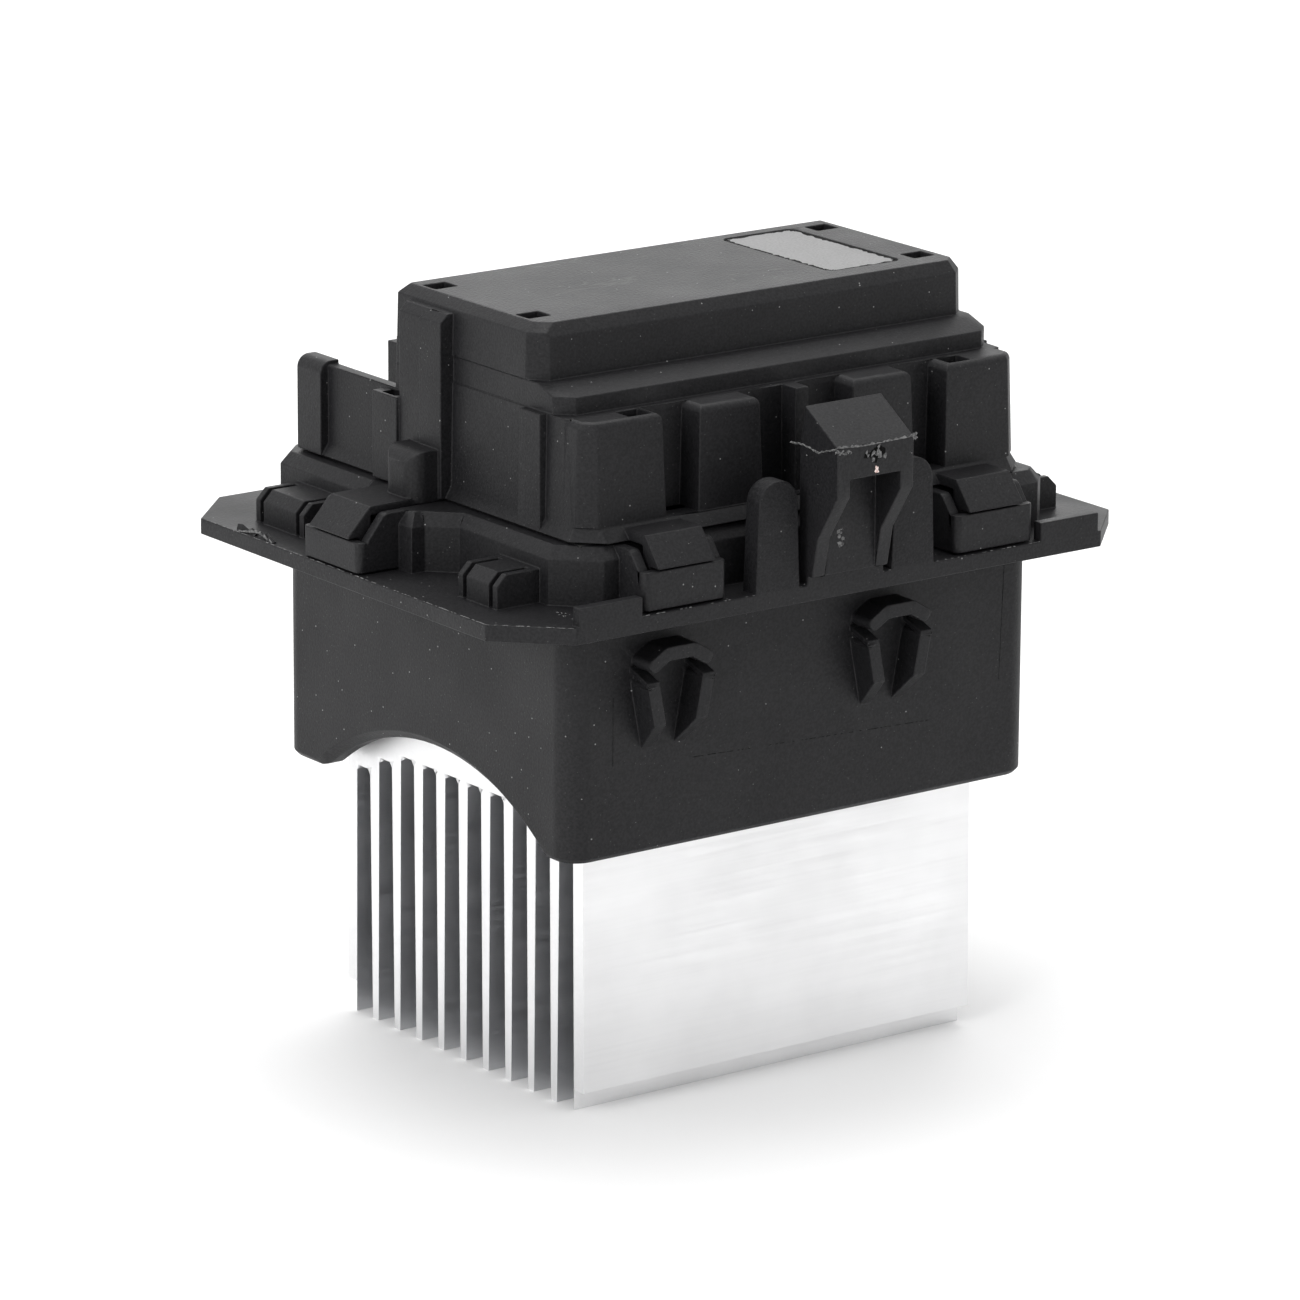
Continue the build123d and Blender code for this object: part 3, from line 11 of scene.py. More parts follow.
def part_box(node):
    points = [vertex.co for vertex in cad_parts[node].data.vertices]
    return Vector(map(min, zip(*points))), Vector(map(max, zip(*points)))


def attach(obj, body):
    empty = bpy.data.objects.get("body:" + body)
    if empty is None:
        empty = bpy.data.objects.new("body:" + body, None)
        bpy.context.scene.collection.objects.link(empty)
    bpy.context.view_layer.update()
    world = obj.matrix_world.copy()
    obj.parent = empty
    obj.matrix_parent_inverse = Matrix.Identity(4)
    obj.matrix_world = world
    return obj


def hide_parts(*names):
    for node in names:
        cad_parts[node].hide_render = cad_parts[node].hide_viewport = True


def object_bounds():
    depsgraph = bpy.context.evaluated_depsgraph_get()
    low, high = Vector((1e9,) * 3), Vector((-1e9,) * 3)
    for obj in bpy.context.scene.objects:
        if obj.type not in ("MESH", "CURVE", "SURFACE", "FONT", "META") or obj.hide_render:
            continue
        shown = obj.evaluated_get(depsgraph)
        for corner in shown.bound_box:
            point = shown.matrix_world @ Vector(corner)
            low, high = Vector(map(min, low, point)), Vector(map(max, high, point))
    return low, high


# Blower motor resistor module. Metres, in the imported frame: +Z up, the latch on the -Y side.
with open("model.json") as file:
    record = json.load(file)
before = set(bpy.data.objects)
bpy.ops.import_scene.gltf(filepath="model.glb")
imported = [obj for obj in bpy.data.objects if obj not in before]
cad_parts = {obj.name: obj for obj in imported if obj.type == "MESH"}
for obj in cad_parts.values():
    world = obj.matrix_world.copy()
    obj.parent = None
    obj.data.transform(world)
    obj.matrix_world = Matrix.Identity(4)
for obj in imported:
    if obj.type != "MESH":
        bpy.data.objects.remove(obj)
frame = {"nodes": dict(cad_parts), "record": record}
cad_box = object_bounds()
nodes = frame["nodes"]
scene = bpy.context.scene
MM = 0.001
LEFTWARD, RIGHTWARD = (-1, 0, 0), (1, 0, 0)
FORWARD, REARWARD, UPWARD = (0, -1, 0), (0, 1, 0), (0, 0, 1)


def at(x, y, z):
    """A point given in millimetres."""
    return Vector((x, y, z)) * MM


# Node materials

# A noise varies about its middle: most of its values lie in the usual range, many in the narrow one
NOISE_MIDDLE, NOISE_USUAL, NOISE_NARROW = 0.5, (0.3, 0.7), (0.35, 0.65)
SCRATCHED_PATCHES = (0.52, 0.6)
DOT_RIM, DOT_CHOICE = 1.3, 0.01
CLOUD = 9 * MM


class Shading:
    """A node material with short names for the nodes that its looks are built from."""

    def __init__(self, name, roughness=0.5, metallic=0.0, gloss=0.5):
        self.material = bpy.data.materials.new(name)
        self.material.use_nodes = True
        self.tree = self.material.node_tree
        self.shader = self.tree.nodes["Principled BSDF"]
        self.shader.inputs["Roughness"].default_value = roughness
        self.shader.inputs["Metallic"].default_value = metallic
        self.shader.inputs["Specular IOR Level"].default_value = gloss
        self.place = self.tree.nodes.new("ShaderNodeTexCoord").outputs["Object"]

    def link(self, out, into):
        self.tree.links.new(out, into)

    def stretched(self, factors, turn=0.0):
        """The place with each axis scaled by its factor, after a turn about Z."""
        node = self.tree.nodes.new("ShaderNodeMapping")
        node.inputs["Scale"].default_value = factors
        node.inputs["Rotation"].default_value = (0.0, 0.0, turn)
        self.link(self.place, node.inputs["Vector"])
        return node.outputs["Vector"]

    def noise(self, size, detail=2.0, place=None):
        """Noise whose lumps are about this many metres wide."""
        node = self.tree.nodes.new("ShaderNodeTexNoise")
        node.inputs["Scale"].default_value = 1.0 / size
        node.inputs["Detail"].default_value = detail
        self.link(place or self.place, node.inputs["Vector"])
        return node.outputs["Fac"]

    def ramp(self, value, low, high, start, end):
        """Maps value from low..high to start..end, held at both ends."""
        node = self.tree.nodes.new("ShaderNodeMapRange")
        for name, number in (("From Min", low), ("From Max", high), ("To Min", start), ("To Max", end)):
            node.inputs[name].default_value = number
        self.link(value, node.inputs["Value"])
        return node.outputs["Result"]

    def product(self, first, second):
        node = self.tree.nodes.new("ShaderNodeMath")
        node.operation = "MULTIPLY"
        self.link(first, node.inputs[0])
        self.link(second, node.inputs[1])
        return node.outputs["Value"]

    def mix(self, factor, colour_a, colour_b):
        """Mixes two colours, each a tuple or the output of another node."""
        node = self.tree.nodes.new("ShaderNodeMix")
        node.data_type = "RGBA"
        self.link(factor, node.inputs["Factor"])
        for socket, colour in (("A", colour_a), ("B", colour_b)):
            target = [s for s in node.inputs if s.name == socket and s.type == "RGBA"][0]
            if isinstance(colour, tuple):
                target.default_value = (*colour, 1.0)
            else:
                self.link(colour, target)
        return [s for s in node.outputs if s.type == "RGBA"][0]

    def specks(self, spacing, reach, missing):
        """Dots this far apart, of reach times that in radius, with a share of them missing."""
        node = self.tree.nodes.new("ShaderNodeTexVoronoi")
        node.inputs["Scale"].default_value = 1.0 / spacing
        self.link(self.place, node.inputs["Vector"])
        dot = self.ramp(node.outputs["Distance"], reach, reach * DOT_RIM, 1.0, 0.0)
        split = self.tree.nodes.new("ShaderNodeSeparateColor")
        self.link(node.outputs["Color"], split.inputs["Color"])
        return self.product(dot, self.ramp(split.outputs["Red"], missing, missing + DOT_CHOICE, 0.0, 1.0))

    def scratches(self, size, place, width, patch):
        """Thin wandering lines, where one noise passes its middle value, inside patches of another."""
        wander = self.noise(size, 3.0, place)
        line = self.product(
            self.ramp(wander, NOISE_MIDDLE - width, NOISE_MIDDLE - width / 2, 0.0, 1.0),
            self.ramp(wander, NOISE_MIDDLE + width / 2, NOISE_MIDDLE + width, 1.0, 0.0),
        )
        return self.product(line, self.ramp(self.noise(patch, 3.0), *SCRATCHED_PATCHES, 0.0, 1.0))

    def relief(self, height, depth, strength=1.0):
        node = self.tree.nodes.new("ShaderNodeBump")
        node.inputs["Distance"].default_value = depth
        node.inputs["Strength"].default_value = strength
        self.link(height, node.inputs["Height"])
        return node.outputs["Normal"]

    def finish(self, colour=None, roughness=None, normal=None):
        for out, name in ((colour, "Base Color"), (roughness, "Roughness"), (normal, "Normal")):
            if out is not None:
                self.link(out, self.shader.inputs[name])
        return self.material


def plastic(name, dark, light, rough, gloss=0.5):
    """Plain moulded plastic: a fine grain, and roughness that varies in clouds."""
    s = Shading(name, gloss=gloss)
    patches = s.noise(CLOUD, 4.0)
    fine = s.noise(0.3 * MM, 2.0)
    colour = s.mix(s.ramp(fine, *NOISE_NARROW, 0.0, 1.0), dark, light)
    return s.finish(colour, s.ramp(patches, *NOISE_USUAL, *rough), s.relief(fine, 0.02 * MM))


HOUSING_DARK, HOUSING_LIGHT = (0.0066, 0.0065, 0.0074), (0.0137, 0.0135, 0.0148)
SCUFF_COLOUR = (0.035, 0.035, 0.035)
DUST_COLOUR, BRIGHT_DUST_COLOUR = (0.04, 0.04, 0.04), (0.22, 0.22, 0.22)


def housing_plastic(name, grain, depth, rough, gloss, scuffed=False):
    """The black of the housings, with dust, and with scuffs where asked."""
    s = Shading(name, gloss=gloss)
    patches = s.noise(CLOUD, 4.0)
    fine = s.noise(grain, 2.0)
    colour = s.mix(s.ramp(fine, *NOISE_NARROW, 0.0, 1.0), HOUSING_DARK, HOUSING_LIGHT)
    if scuffed:
        slanted = s.stretched((0.35, 1.4, 1.0), math.radians(25))
        colour = s.mix(s.scratches(7 * MM, slanted, 0.008, 10 * MM), colour, SCUFF_COLOUR)
    colour = s.mix(s.specks(0.7 * MM, 0.09, 0.5), colour, DUST_COLOUR)
    colour = s.mix(s.specks(1.7 * MM, 0.045, 0.35), colour, BRIGHT_DUST_COLOUR)
    return s.finish(colour, s.ramp(patches, *NOISE_USUAL, *rough), s.relief(fine, depth))


def extruded_aluminium(name, dark, light):
    """Satin metal with fine lines along X, the way that it was extruded."""
    s = Shading(name, metallic=1.0)
    lines = s.noise(0.35 * MM, 3.0, s.stretched((0.02, 1.0, 1.0)))
    cloud = s.noise(14 * MM, 3.0)
    colour = s.mix(s.ramp(cloud, *NOISE_USUAL, 0.0, 1.0), dark, light)
    roughness = s.ramp(lines, *NOISE_USUAL, 0.38, 0.55)
    return s.finish(colour, roughness, s.relief(lines, 0.01 * MM, 0.5))


def plain_metal(name, dark, light, rough):
    """Metal with a cloudy tone and a very fine grain."""
    s = Shading(name, metallic=1.0)
    cloud = s.noise(2 * MM, 4.0)
    fine = s.noise(0.15 * MM, 2.0)
    colour = s.mix(s.ramp(cloud, *NOISE_USUAL, 0.0, 1.0), dark, light)
    return s.finish(colour, s.ramp(fine, *NOISE_USUAL, *rough), s.relief(fine, 0.01 * MM, 0.4))


ALUMINIUM = extruded_aluminium("sink_aluminium", (0.78, 0.78, 0.785), (0.87, 0.87, 0.875))
# Darker aluminium for the fin faces inside the slots: painted shade
SLOT_SHADE_ALUMINIUM = extruded_aluminium("slot_aluminium_painted_shade", (0.60, 0.605, 0.62), (0.68, 0.685, 0.70))
BLACK = housing_plastic("black_plastic", 0.3 * MM, 0.03 * MM, (0.46, 0.56), 0.23)
COARSE_BLACK = housing_plastic("coarse_black_plastic", 0.28 * MM, 0.09 * MM, (0.5, 0.62), 0.2)
SCUFFED_BLACK = housing_plastic("scuffed_black_plastic", 0.34 * MM, 0.09 * MM, (0.47, 0.53), 0.23, True)
FLASH = plastic("flash_plastic", (0.03, 0.03, 0.031), (0.16, 0.16, 0.16), (0.35, 0.5))
# Pinkish white, for a painted glint on the latch's tear
PAINTED_GLINT = plastic("painted_glint_plastic", (0.5, 0.3, 0.27), (0.9, 0.78, 0.74), (0.3, 0.45))
SHADOW = plastic("torn_shadow", (0.001, 0.001, 0.001), (0.004, 0.004, 0.004), (0.8, 0.9), 0.1)

# The record's other material slots: darkest colour, lightest colour, range of roughness
PLASTIC_LOOKS = {
    "bare_plate": ((0.10, 0.10, 0.10), (0.14, 0.14, 0.14), (0.45, 0.5)),
    "seal_rubber": ((0.02, 0.02, 0.02), (0.03, 0.03, 0.03), (0.7, 0.8)),
    "board_green": ((0.02, 0.11, 0.05), (0.03, 0.15, 0.07), (0.3, 0.4)),
    "pad_grey": ((0.3, 0.32, 0.35), (0.36, 0.38, 0.4), (0.7, 0.8)),
    "package_black": ((0.015, 0.015, 0.015), (0.025, 0.025, 0.025), (0.5, 0.6)),
    "capacitor_sleeve": ((0.02, 0.02, 0.06), (0.03, 0.03, 0.08), (0.3, 0.4)),
    "ferrite": ((0.03, 0.03, 0.03), (0.05, 0.05, 0.05), (0.6, 0.7)),
    "film_box": ((0.35, 0.05, 0.03), (0.4, 0.07, 0.04), (0.3, 0.4)),
    "chip_ceramic_tan": ((0.3, 0.2, 0.11), (0.36, 0.25, 0.14), (0.5, 0.6)),
    "chip_ceramic_black": ((0.02, 0.02, 0.02), (0.04, 0.04, 0.04), (0.4, 0.5)),
}
METAL_LOOKS = {
    "screw_steel": ((0.5, 0.5, 0.5), (0.62, 0.62, 0.62), (0.3, 0.4)),
    "spring_steel": ((0.42, 0.42, 0.42), (0.52, 0.52, 0.52), (0.3, 0.4)),
    "winding_copper": ((0.55, 0.22, 0.08), (0.65, 0.3, 0.12), (0.25, 0.35)),
    "shunt_metal": ((0.5, 0.32, 0.2), (0.6, 0.4, 0.26), (0.35, 0.45)),
    "fuse_metal": ((0.5, 0.5, 0.5), (0.6, 0.6, 0.6), (0.35, 0.45)),
    "terminal_brass": ((0.6, 0.56, 0.46), (0.7, 0.66, 0.56), (0.25, 0.35)),
}
SLOT_LOOKS = {
    "black_plastic": BLACK,
    "sink_aluminium": ALUMINIUM,
    **{name: plastic(name, *look) for name, look in PLASTIC_LOOKS.items()},
    **{name: plain_metal(name, *look) for name, look in METAL_LOOKS.items()},
}
for part in frame["record"]["subparts"]:
    mesh = nodes[part["node"]].data
    mesh.materials.clear()
    mesh.materials.append(SLOT_LOOKS[part["material_slot"]])


# Copies of the mouldings and the heat sink with rounded edges

WELD = 0.004 * MM
SHARP_ANGLE = math.radians(35)
MOULDED_EDGE, EXTRUDED_EDGE = 0.14 * MM, 0.05 * MM
STRAY_LIMIT = 0.7
SLOT_END_LOW, SLOT_END_HIGH = -29 * MM, -25 * MM
SLOT_LENGTH, SLOT_RADIUS = 40 * MM, 0.55 * MM
LATCH_FRONT_DEPTH, FLASH_ROOM = 0.2 * MM, 0.12 * MM
FLANGE_TOP = 1.9
GUARD_INNER_X, GUARD_OUTER_X, GUARD_BACK_Y = 6.4 * MM, 12.7 * MM, -33.2 * MM
GUARD_FOOT_Z = FLANGE_TOP * MM + 0.1 * MM
FACING_UP, COVER_TOP_DEPTH = 0.9, 0.5 * MM
FACING_SIDEWAYS, OUTER_FIN_Y = 0.8, 21.1 * MM


def piece(name, mesh, *materials, slot="black_plastic"):
    """A new piece that rides on the body, with the given materials; the slot argument is not used."""
    for material in materials:
        mesh.materials.append(material)
    item = bpy.data.objects.new(name, mesh)
    scene.collection.objects.link(item)
    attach(item, "root")
    return item


def sharp_edges(bm):
    return [e for e in bm.edges if len(e.link_faces) == 2 and e.calc_face_angle() > SHARP_ANGLE]


def slot_ends(bm):
    """The long inward edges where the slots between the fins end."""
    return [
        e for e in sharp_edges(bm)
        if not e.is_convex
        and e.calc_length() > SLOT_LENGTH
        and SLOT_END_LOW < e.verts[0].co.z < SLOT_END_HIGH
    ]


def rounded_copy(node, width):
    """A node's mesh with its sharp edges rounded by this width, and no vertex left far off the solid."""
    bm = bmesh.new()
    bm.from_mesh(nodes[node].data)
    bmesh.ops.remove_doubles(bm, verts=bm.verts, dist=WELD)
    if node == "heat_sink":
        bmesh.ops.bevel(bm, geom=slot_ends(bm), offset=SLOT_RADIUS, segments=4, profile=0.5, affect="EDGES")
    solid = BVHTree.FromBMesh(bm)
    bmesh.ops.bevel(bm, geom=sharp_edges(bm), offset=width, segments=2, profile=0.5, affect="EDGES",
                    miter_outer="ARC", clamp_overlap=False)
    for vert in bm.verts:
        nearest, _, _, stray = solid.find_nearest(vert.co)
        if stray > STRAY_LIMIT * width:
            vert.co = nearest
    for edge in bm.edges:
        edge.smooth = True
    for face in bm.faces:
        face.smooth = True
    mesh = bpy.data.meshes.new(node + "_rounded")
    bm.to_mesh(mesh)
    bm.free()
    # The CAD mesh's own normals no longer fit
    stale = mesh.attributes.get("custom_normal")
    if stale:
        mesh.attributes.remove(stale)
    return mesh


def dressed(node, width, *materials, slot="black_plastic"):
    """Puts a rounded copy in a node's place and returns the copy's mesh."""
    item = piece(node + "_rounded", rounded_copy(node, width), *materials, slot=slot)
    item.modifiers.new("normals", "WEIGHTED_NORMAL")
    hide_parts(node)
    return item.data


frame_low = Vector(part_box("mounting_frame")[0])
cover_high = Vector(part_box("cover")[1])

# The latch's front moves back to make room for its flash, and the guards beside it are coarser
frame_mesh = dressed("mounting_frame", MOULDED_EDGE, BLACK, COARSE_BLACK)
for vert in frame_mesh.vertices:
    if vert.co.y < frame_low.y + LATCH_FRONT_DEPTH:
        vert.co.y += FLASH_ROOM
for face in frame_mesh.polygons:
    x, y, z = face.center
    on_guard = GUARD_INNER_X < abs(x) < GUARD_OUTER_X and y < GUARD_BACK_Y
    if on_guard and z > GUARD_FOOT_Z:
        face.material_index = 1

# The top of the cover is scuffed
cover_mesh = dressed("cover", MOULDED_EDGE, BLACK, SCUFFED_BLACK)
for face in cover_mesh.polygons:
    if face.normal.z > FACING_UP and face.center.z > cover_high.z - COVER_TOP_DEPTH:
        face.material_index = 1

# The fins' faces inside the slots take a darker aluminium than their outer faces: painted shade in the slots
sink_mesh = dressed("heat_sink", EXTRUDED_EDGE, ALUMINIUM, SLOT_SHADE_ALUMINIUM, slot="sink_aluminium")
for face in sink_mesh.polygons:
    inward = face.center.y * face.normal.y < 0 or abs(face.center.y) < OUTER_FIN_Y
    if inward and abs(face.normal.y) > FACING_SIDEWAYS:
        face.material_index = 1


# Moulding flash, marks and wear, with painted shade and a painted glint, with points and sizes in millimetres

CHIP_CORNERS = 5
SIDE_SHIFT, SIDE_SHARES, CREST_SHARES, CHIP_SHARES = 0.3, (0.4, 1.0), (0.2, 1.0), (0.3, 1.0)


def ridge(name, path, normal, half_width, height, seed, material=FLASH, gaps=0.0, step=0.3):
    """A ragged ridge along a path on a surface, with a share of its length missing."""
    draw = random.Random(seed)
    half_width, height, step = half_width * MM, height * MM, step * MM
    bm = bmesh.new()
    normal = Vector(normal).normalized()
    for start, end in zip(path, path[1:]):
        along = (end - start).normalized()
        side = normal.cross(along)
        count = max(2, int((end - start).length / step))
        row = None
        for i in range(count + 1):
            centre = start.lerp(end, i / count) + side * half_width * draw.uniform(-SIDE_SHIFT, SIDE_SHIFT)
            left = bm.verts.new(centre - side * half_width * draw.uniform(*SIDE_SHARES))
            crest = bm.verts.new(centre + normal * height * draw.uniform(*CREST_SHARES))
            rest = bm.verts.new(centre + side * half_width * draw.uniform(*SIDE_SHARES))
            if row and draw.random() >= gaps:
                bm.faces.new((row[0], left, crest, row[1]))
                bm.faces.new((row[1], crest, rest, row[2]))
            row = (left, crest, rest)
    bmesh.ops.delete(bm, geom=[v for v in bm.verts if not v.link_faces], context="VERTS")
    mesh = bpy.data.meshes.new(name)
    bm.to_mesh(mesh)
    bm.free()
    piece(name, mesh, material)


def chips(name, centre, across, upward, reach, size, lift, count, seed, material=FLASH):
    """Ragged chips scattered over an oval of a surface, which reaches this far across and upward."""
    draw = random.Random(seed)
    size, lift = size * MM, lift * MM
    across, upward = Vector(across).normalized(), Vector(upward).normalized()
    normal = across.cross(upward)
    bm = bmesh.new()
    for _ in range(count):
        angle, far = draw.uniform(0, 2 * math.pi), math.sqrt(draw.random())
        middle = (
            centre
            + across * reach[0] * MM * far * math.cos(angle)
            + upward * reach[1] * MM * far * math.sin(angle)
        )
        turn = draw.uniform(0, 2 * math.pi)
        rim = []
        for k in range(CHIP_CORNERS):
            a = turn + 2 * math.pi * k / CHIP_CORNERS
            spoke = across * math.cos(a) + upward * math.sin(a)
            rim.append(bm.verts.new(middle + spoke * size * draw.uniform(*CHIP_SHARES)))
        peak = bm.verts.new(middle + normal * lift * draw.uniform(*CHIP_SHARES))
        for k in range(CHIP_CORNERS):
            bm.faces.new((rim[k], rim[(k + 1) % CHIP_CORNERS], peak))
    mesh = bpy.data.meshes.new(name)
    bm.to_mesh(mesh)
    bm.free()
    piece(name, mesh, material)


# Parting lines on the front of the sleeve, drawn near-black: painted shade along the seams
SLEEVE_Y = -28.7
THIN = 0.05
parting_left = [at(-27.05, SLEEVE_Y, -9.2), at(-27.05, SLEEVE_Y, -17.2)]
parting_right = [at(28.6, SLEEVE_Y, -2.4), at(28.1, SLEEVE_Y, -16.0)]
parting_low = [at(-16.3, SLEEVE_Y, -17.9), at(18.0, SLEEVE_Y, -19.2)]
ridge("parting_line_left", parting_left, FORWARD, THIN, THIN, seed=1, material=SHADOW)
ridge("parting_line_right", parting_right, FORWARD, THIN, THIN, seed=2, material=SHADOW)
ridge("parting_line_low", parting_low, FORWARD, THIN, THIN, seed=3, material=SHADOW, gaps=0.45)

# Torn flash along the lower edge of the latch head
HEAD_X, HEAD_Y = 5.35, frame_low.y / MM + 0.1
flash_front = [at(-HEAD_X - 0.15, HEAD_Y, 18.7), at(-2.2, HEAD_Y, 18.45), at(HEAD_X + 0.2, HEAD_Y, 18.6)]
flash_side = [at(-HEAD_X, y, z) for y, z in ((-32.4, 17.7), (-34.6, 17.9), (-37.4, 17.5), (-40.9, 18.6))]
ridge("latch_flash_front", flash_front, (0, -0.1, 1), 0.07, 0.35, seed=4)
ridge("latch_flash_side", flash_side, LEFTWARD, 0.15, 0.25, seed=5)
left_tip, right_tip = at(-HEAD_X + 0.8, HEAD_Y + 0.03, 18.1), at(HEAD_X + 0.2, HEAD_Y + 0.1, 18.6)
chips("latch_flash_left_tip", left_tip, RIGHTWARD, UPWARD, (1.3, 0.3), 0.25, 0.08, 22, seed=6)
chips("latch_flash_right_tip", right_tip, RIGHTWARD, UPWARD, (0.35, 0.35), 0.3, 0.1, 16, seed=7)

# The tear under it: a dark patch of painted shadow, loose chips and a pale painted glint
tear_shadow, tear = at(0.2, HEAD_Y + 0.01, 17.4), at(0.1, HEAD_Y - 0.015, 17.2)
tear_glint = at(0.2, HEAD_Y + 0.02, 15.6)
chips("latch_tear_shadow", tear_shadow, RIGHTWARD, UPWARD, (1.5, 0.7), 0.7, 0.02, 14, seed=9, material=SHADOW)
chips("latch_tear", tear, RIGHTWARD, UPWARD, (1.8, 1.0), 0.4, 0.08, 11, seed=8)
chips("latch_tear_glint", tear_glint, RIGHTWARD, UPWARD, (0.3, 0.45), 0.3, 0.08, 7, seed=10, material=PAINTED_GLINT)

# Gate mark in the latch window
chips("latch_gate_mark", at(-1.3, -36.4, 6.9), RIGHTWARD, UPWARD, (0.35, 1.4), 0.38, 0.15, 13, seed=11)

# Dotted flash along the left, cut and front edges of the flange
FLANGE_X, FLANGE_Y, CUT, INSET = 44.3, 35.75, 7.2, 0.1
corner_points = [
    at(-FLANGE_X + INSET, FLANGE_Y - CUT, FLANGE_TOP),
    at(-FLANGE_X + INSET, -FLANGE_Y + CUT, FLANGE_TOP),
    at(-FLANGE_X + CUT, -FLANGE_Y + INSET, FLANGE_TOP),
    at(FLANGE_X - CUT, -FLANGE_Y + INSET, FLANGE_TOP),
]
for i, share in enumerate((0.45, 0.5, 0.7)):
    ridge(f"flange_flash_{i}", corner_points[i:i + 2], UPWARD, 0.07, 0.09, seed=12 + i, gaps=share)

# Burr, nick and crack in the left edge of the flange, and marks at its front corner. The nick and the crack
# are drawn near-black: painted shade inside them.
EDGE_X = -FLANGE_X + 0.02
burr = [at(-43.7, 21.8, 1.85), at(-43.3, 18.0, 1.85), at(-43.6, 14.0, 1.85)]
burr_edge = [at(-44.0, 21.0, FLANGE_TOP), at(-43.4, 17.6, 2.3), at(-43.9, 14.2, FLANGE_TOP)]
crack = [at(EDGE_X, y, z) for y, z in ((-5.0, 1.8), (-5.3, 0.6), (-6.6, 0.4), (-7.0, 1.7))]
nick, flange_marks = at(EDGE_X, 17.6, 1.2), at(-34.7, -30.6, FLANGE_TOP)
ridge("flange_burr", burr, UPWARD, 0.55, 0.9, seed=15, material=BLACK, step=0.9)
ridge("flange_burr_edge", burr_edge, UPWARD, 0.16, 0.4, seed=16)
chips("flange_nick", nick, FORWARD, UPWARD, (2.9, 0.4), 0.35, 0.015, 20, seed=17, material=SHADOW)
ridge("flange_crack", crack, LEFTWARD, 0.08, 0.015, seed=18, material=SHADOW)
chips("flange_marks", flange_marks, RIGHTWARD, REARWARD, (0.7, 1.8), 0.16, 0.08, 18, seed=19)

# Bare plate, nearly flush, with rounded corners and a dark rim on its border: painted shade in the gap around
# the plate
PLATE_RADIUS, PLATE_SUNK = 1.3 * MM, 0.08 * MM
RIM_HEIGHT, RIM_WIDTH, RIM_STEP = 0.05, 0.5, 0.5
plate_low, plate_high = (Vector(v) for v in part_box("top_plate"))
plate_high.z = cover_high.z - PLATE_SUNK
bm = bmesh.new()
bmesh.ops.create_cube(bm, size=1.0)
for vert in bm.verts:
    vert.co = Vector([(b if c > 0 else a) for c, a, b in zip(vert.co, plate_low, plate_high)])
upright = [e for e in bm.edges if abs(e.verts[0].co.z - e.verts[1].co.z) > RIM_HEIGHT * MM]
bmesh.ops.bevel(bm, geom=upright, offset=PLATE_RADIUS, segments=6, profile=0.5, affect="EDGES")
border = sorted(
    (v.co.copy() for v in bm.verts if v.co.z > plate_high.z - RIM_HEIGHT * MM),
    key=lambda p: math.atan2(p.y - (plate_low.y + plate_high.y) / 2, p.x - (plate_low.x + plate_high.x) / 2),
)
mesh = bpy.data.meshes.new("rounded_plate")
bm.to_mesh(mesh)
bm.free()
plate = piece("rounded_plate", mesh, SLOT_LOOKS["bare_plate"], slot="bare_plate")
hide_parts("top_plate")
closed_border = border + border[:1]
ridge("plate_rim", closed_border, UPWARD, RIM_WIDTH, RIM_HEIGHT, seed=20, material=SHADOW, step=RIM_STEP)


# Studio: floor with a swept back wall, surroundings, lights and camera

AZIMUTH, ELEVATION, ROLL = math.radians(-36.42), math.radians(15.50), math.radians(0.32)
FLOOR_HALF, SWEEP, WALL = 3.0, 0.8, 3.0
SWEEP_STEPS = 12
floor_z = Vector(cad_box[0]).z
profile = [(-FLOOR_HALF, 0.0)]
for i in range(SWEEP_STEPS + 1):
    a = math.radians(90 * i / SWEEP_STEPS)
    profile.append((FLOOR_HALF - SWEEP + SWEEP * math.sin(a), SWEEP - SWEEP * math.cos(a)))
profile.append((FLOOR_HALF, WALL))
corners = [(x, y, floor_z + z) for x in (-FLOOR_HALF, FLOOR_HALF) for y, z in profile]
count = len(profile)
floor_mesh = bpy.data.meshes.new("studio_floor")
floor_mesh.from_pydata(corners, [], [(i, i + 1, count + i + 1, count + i) for i in range(count - 1)])
for face in floor_mesh.polygons:
    face.use_smooth = True
floor = bpy.data.objects.new("studio_floor", floor_mesh)
scene.collection.objects.link(floor)
paper = Shading("studio_paper", roughness=0.9)
paper_tone = paper.mix(paper.noise(0.4, 2.0), (0.86, 0.86, 0.86), (0.9, 0.9, 0.9))
floor_mesh.materials.append(paper.finish(paper_tone))
floor.rotation_euler = (0, 0, AZIMUTH)

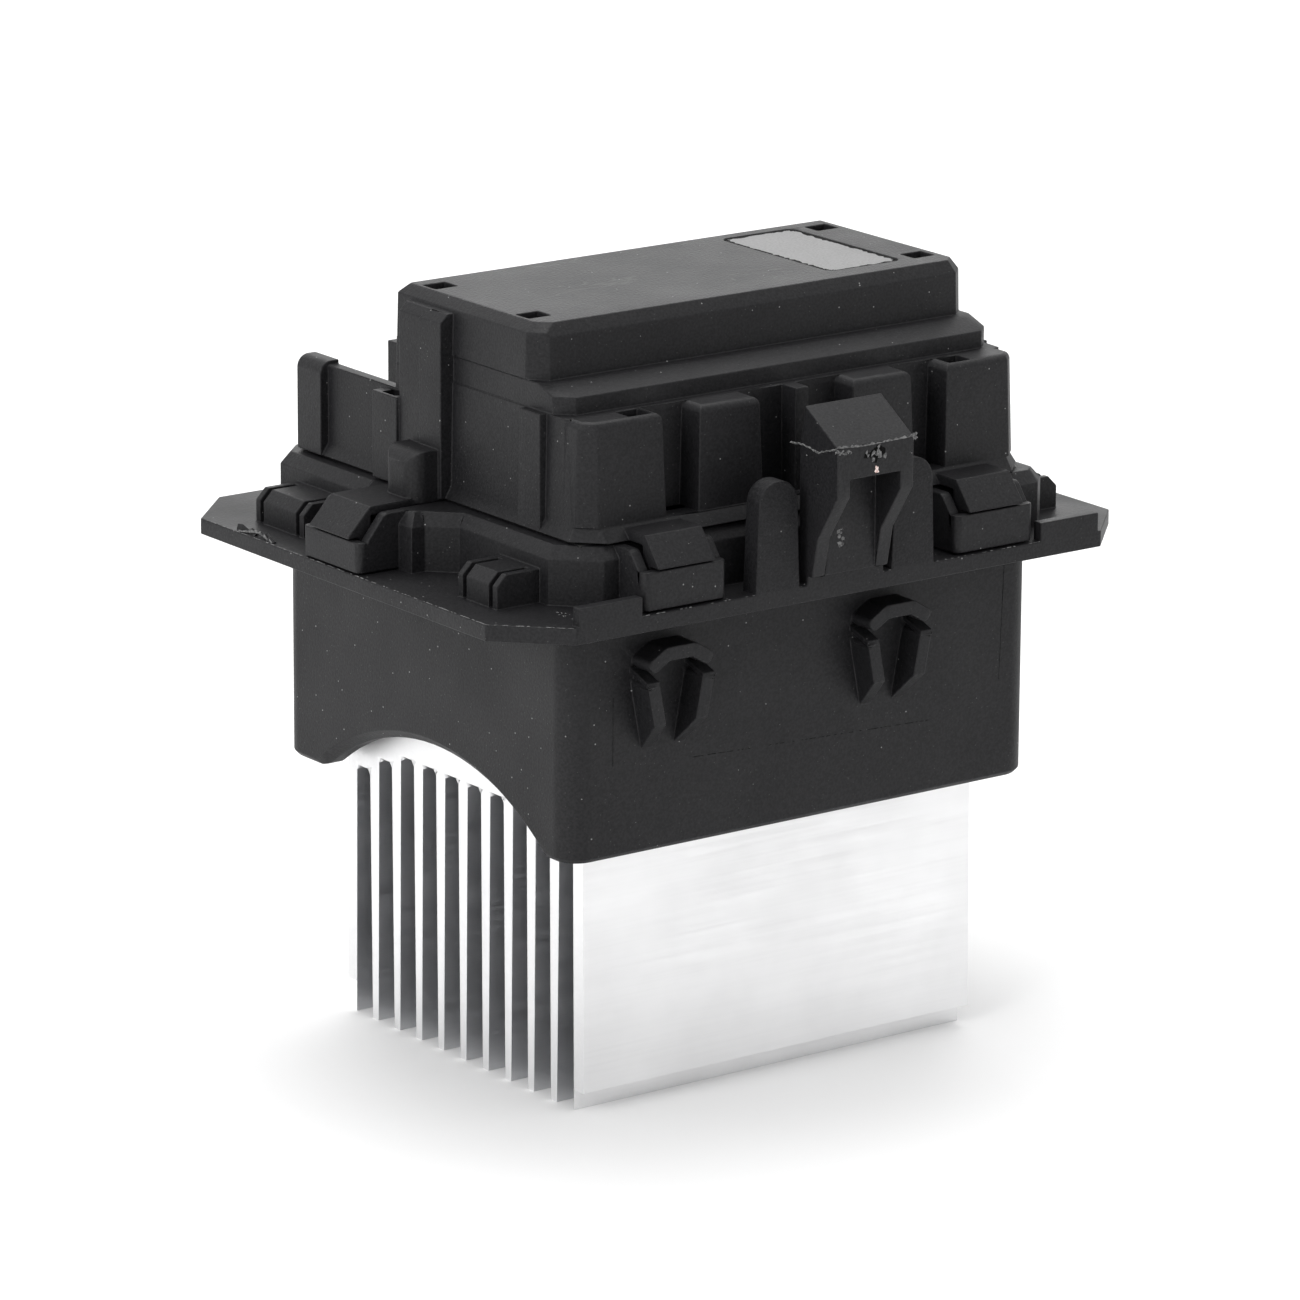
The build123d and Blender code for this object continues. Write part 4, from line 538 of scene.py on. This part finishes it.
# The surroundings are brighter behind the object than in front of it
SKY_TILT, SKY_TURNOVER, SKY_FRONT, SKY_BACK = 0.35, 0.6, 0.66, 1.15
world = bpy.data.worlds.new("studio")
scene.world = world
world.use_nodes = True
sky = world.node_tree
sky_place = sky.nodes.new("ShaderNodeTexCoord")
sky_turn = sky.nodes.new("ShaderNodeVectorMath")
sky_turn.operation = "DOT_PRODUCT"
sky_turn.inputs[1].default_value = (-math.sin(AZIMUTH), math.cos(AZIMUTH), SKY_TILT)
sky_fade = sky.nodes.new("ShaderNodeMapRange")
sky_fade.inputs["From Min"].default_value = -SKY_TURNOVER
sky_fade.inputs["From Max"].default_value = SKY_TURNOVER
sky_fade.inputs["To Min"].default_value = SKY_FRONT
sky_fade.inputs["To Max"].default_value = SKY_BACK
sky.links.new(sky_place.outputs["Generated"], sky_turn.inputs[0])
sky.links.new(sky_turn.outputs["Value"], sky_fade.inputs["Value"])
sky.links.new(sky_fade.outputs["Result"], sky.nodes["Background"].inputs["Strength"])
sky.nodes["Background"].inputs["Color"].default_value = (1, 1, 1, 1)

LIT_POINT = Vector((0, 0, -0.01))


def softbox(name, place, size, power):
    """A rectangular light that faces the object."""
    light = bpy.data.lights.new(name, "AREA")
    light.shape = "RECTANGLE"
    light.size, light.size_y = size
    light.energy = power
    item = bpy.data.objects.new(name, light)
    scene.collection.objects.link(item)
    item.location = place
    item.rotation_euler = (LIT_POINT - Vector(place)).to_track_quat("-Z", "Y").to_euler()


softbox("key_left", (-0.75, -0.15, 0.34), (0.5, 0.5), 2.9)
softbox("top", (0.2, 0.3, 1.2), (1.0, 1.0), 9.0)
softbox("back", (0.9, 1.25, 0.45), (1.4, 0.5), 5.0)

# Camera, as fitted to the photo
AIM = at(-0.534, 0.394, -14.503)
DISTANCE = 846.1 * MM
PHOTO_PIXELS, FOCAL_PIXELS = 1300, 7268.7
SENSOR_WIDTH = 36.0
right = Vector((math.cos(AZIMUTH), math.sin(AZIMUTH), 0))
ahead = Vector((
    -math.sin(AZIMUTH) * math.cos(ELEVATION),
    math.cos(AZIMUTH) * math.cos(ELEVATION),
    -math.sin(ELEVATION),
))
up = right.cross(ahead)
rolled_right = right * math.cos(ROLL) + up * math.sin(ROLL)
rolled_up = rolled_right.cross(ahead)
lens = bpy.data.cameras.new("camera")
lens.sensor_width = SENSOR_WIDTH
lens.lens = SENSOR_WIDTH * (FOCAL_PIXELS / PHOTO_PIXELS)
lens.clip_end = 20.0
camera = bpy.data.objects.new("camera", lens)
scene.collection.objects.link(camera)
turned = Matrix((rolled_right, rolled_up, -ahead)).transposed().to_4x4()
camera.matrix_world = Matrix.Translation(AIM - ahead * DISTANCE) @ turned
scene.camera = camera
scene.view_settings.view_transform = "Standard"
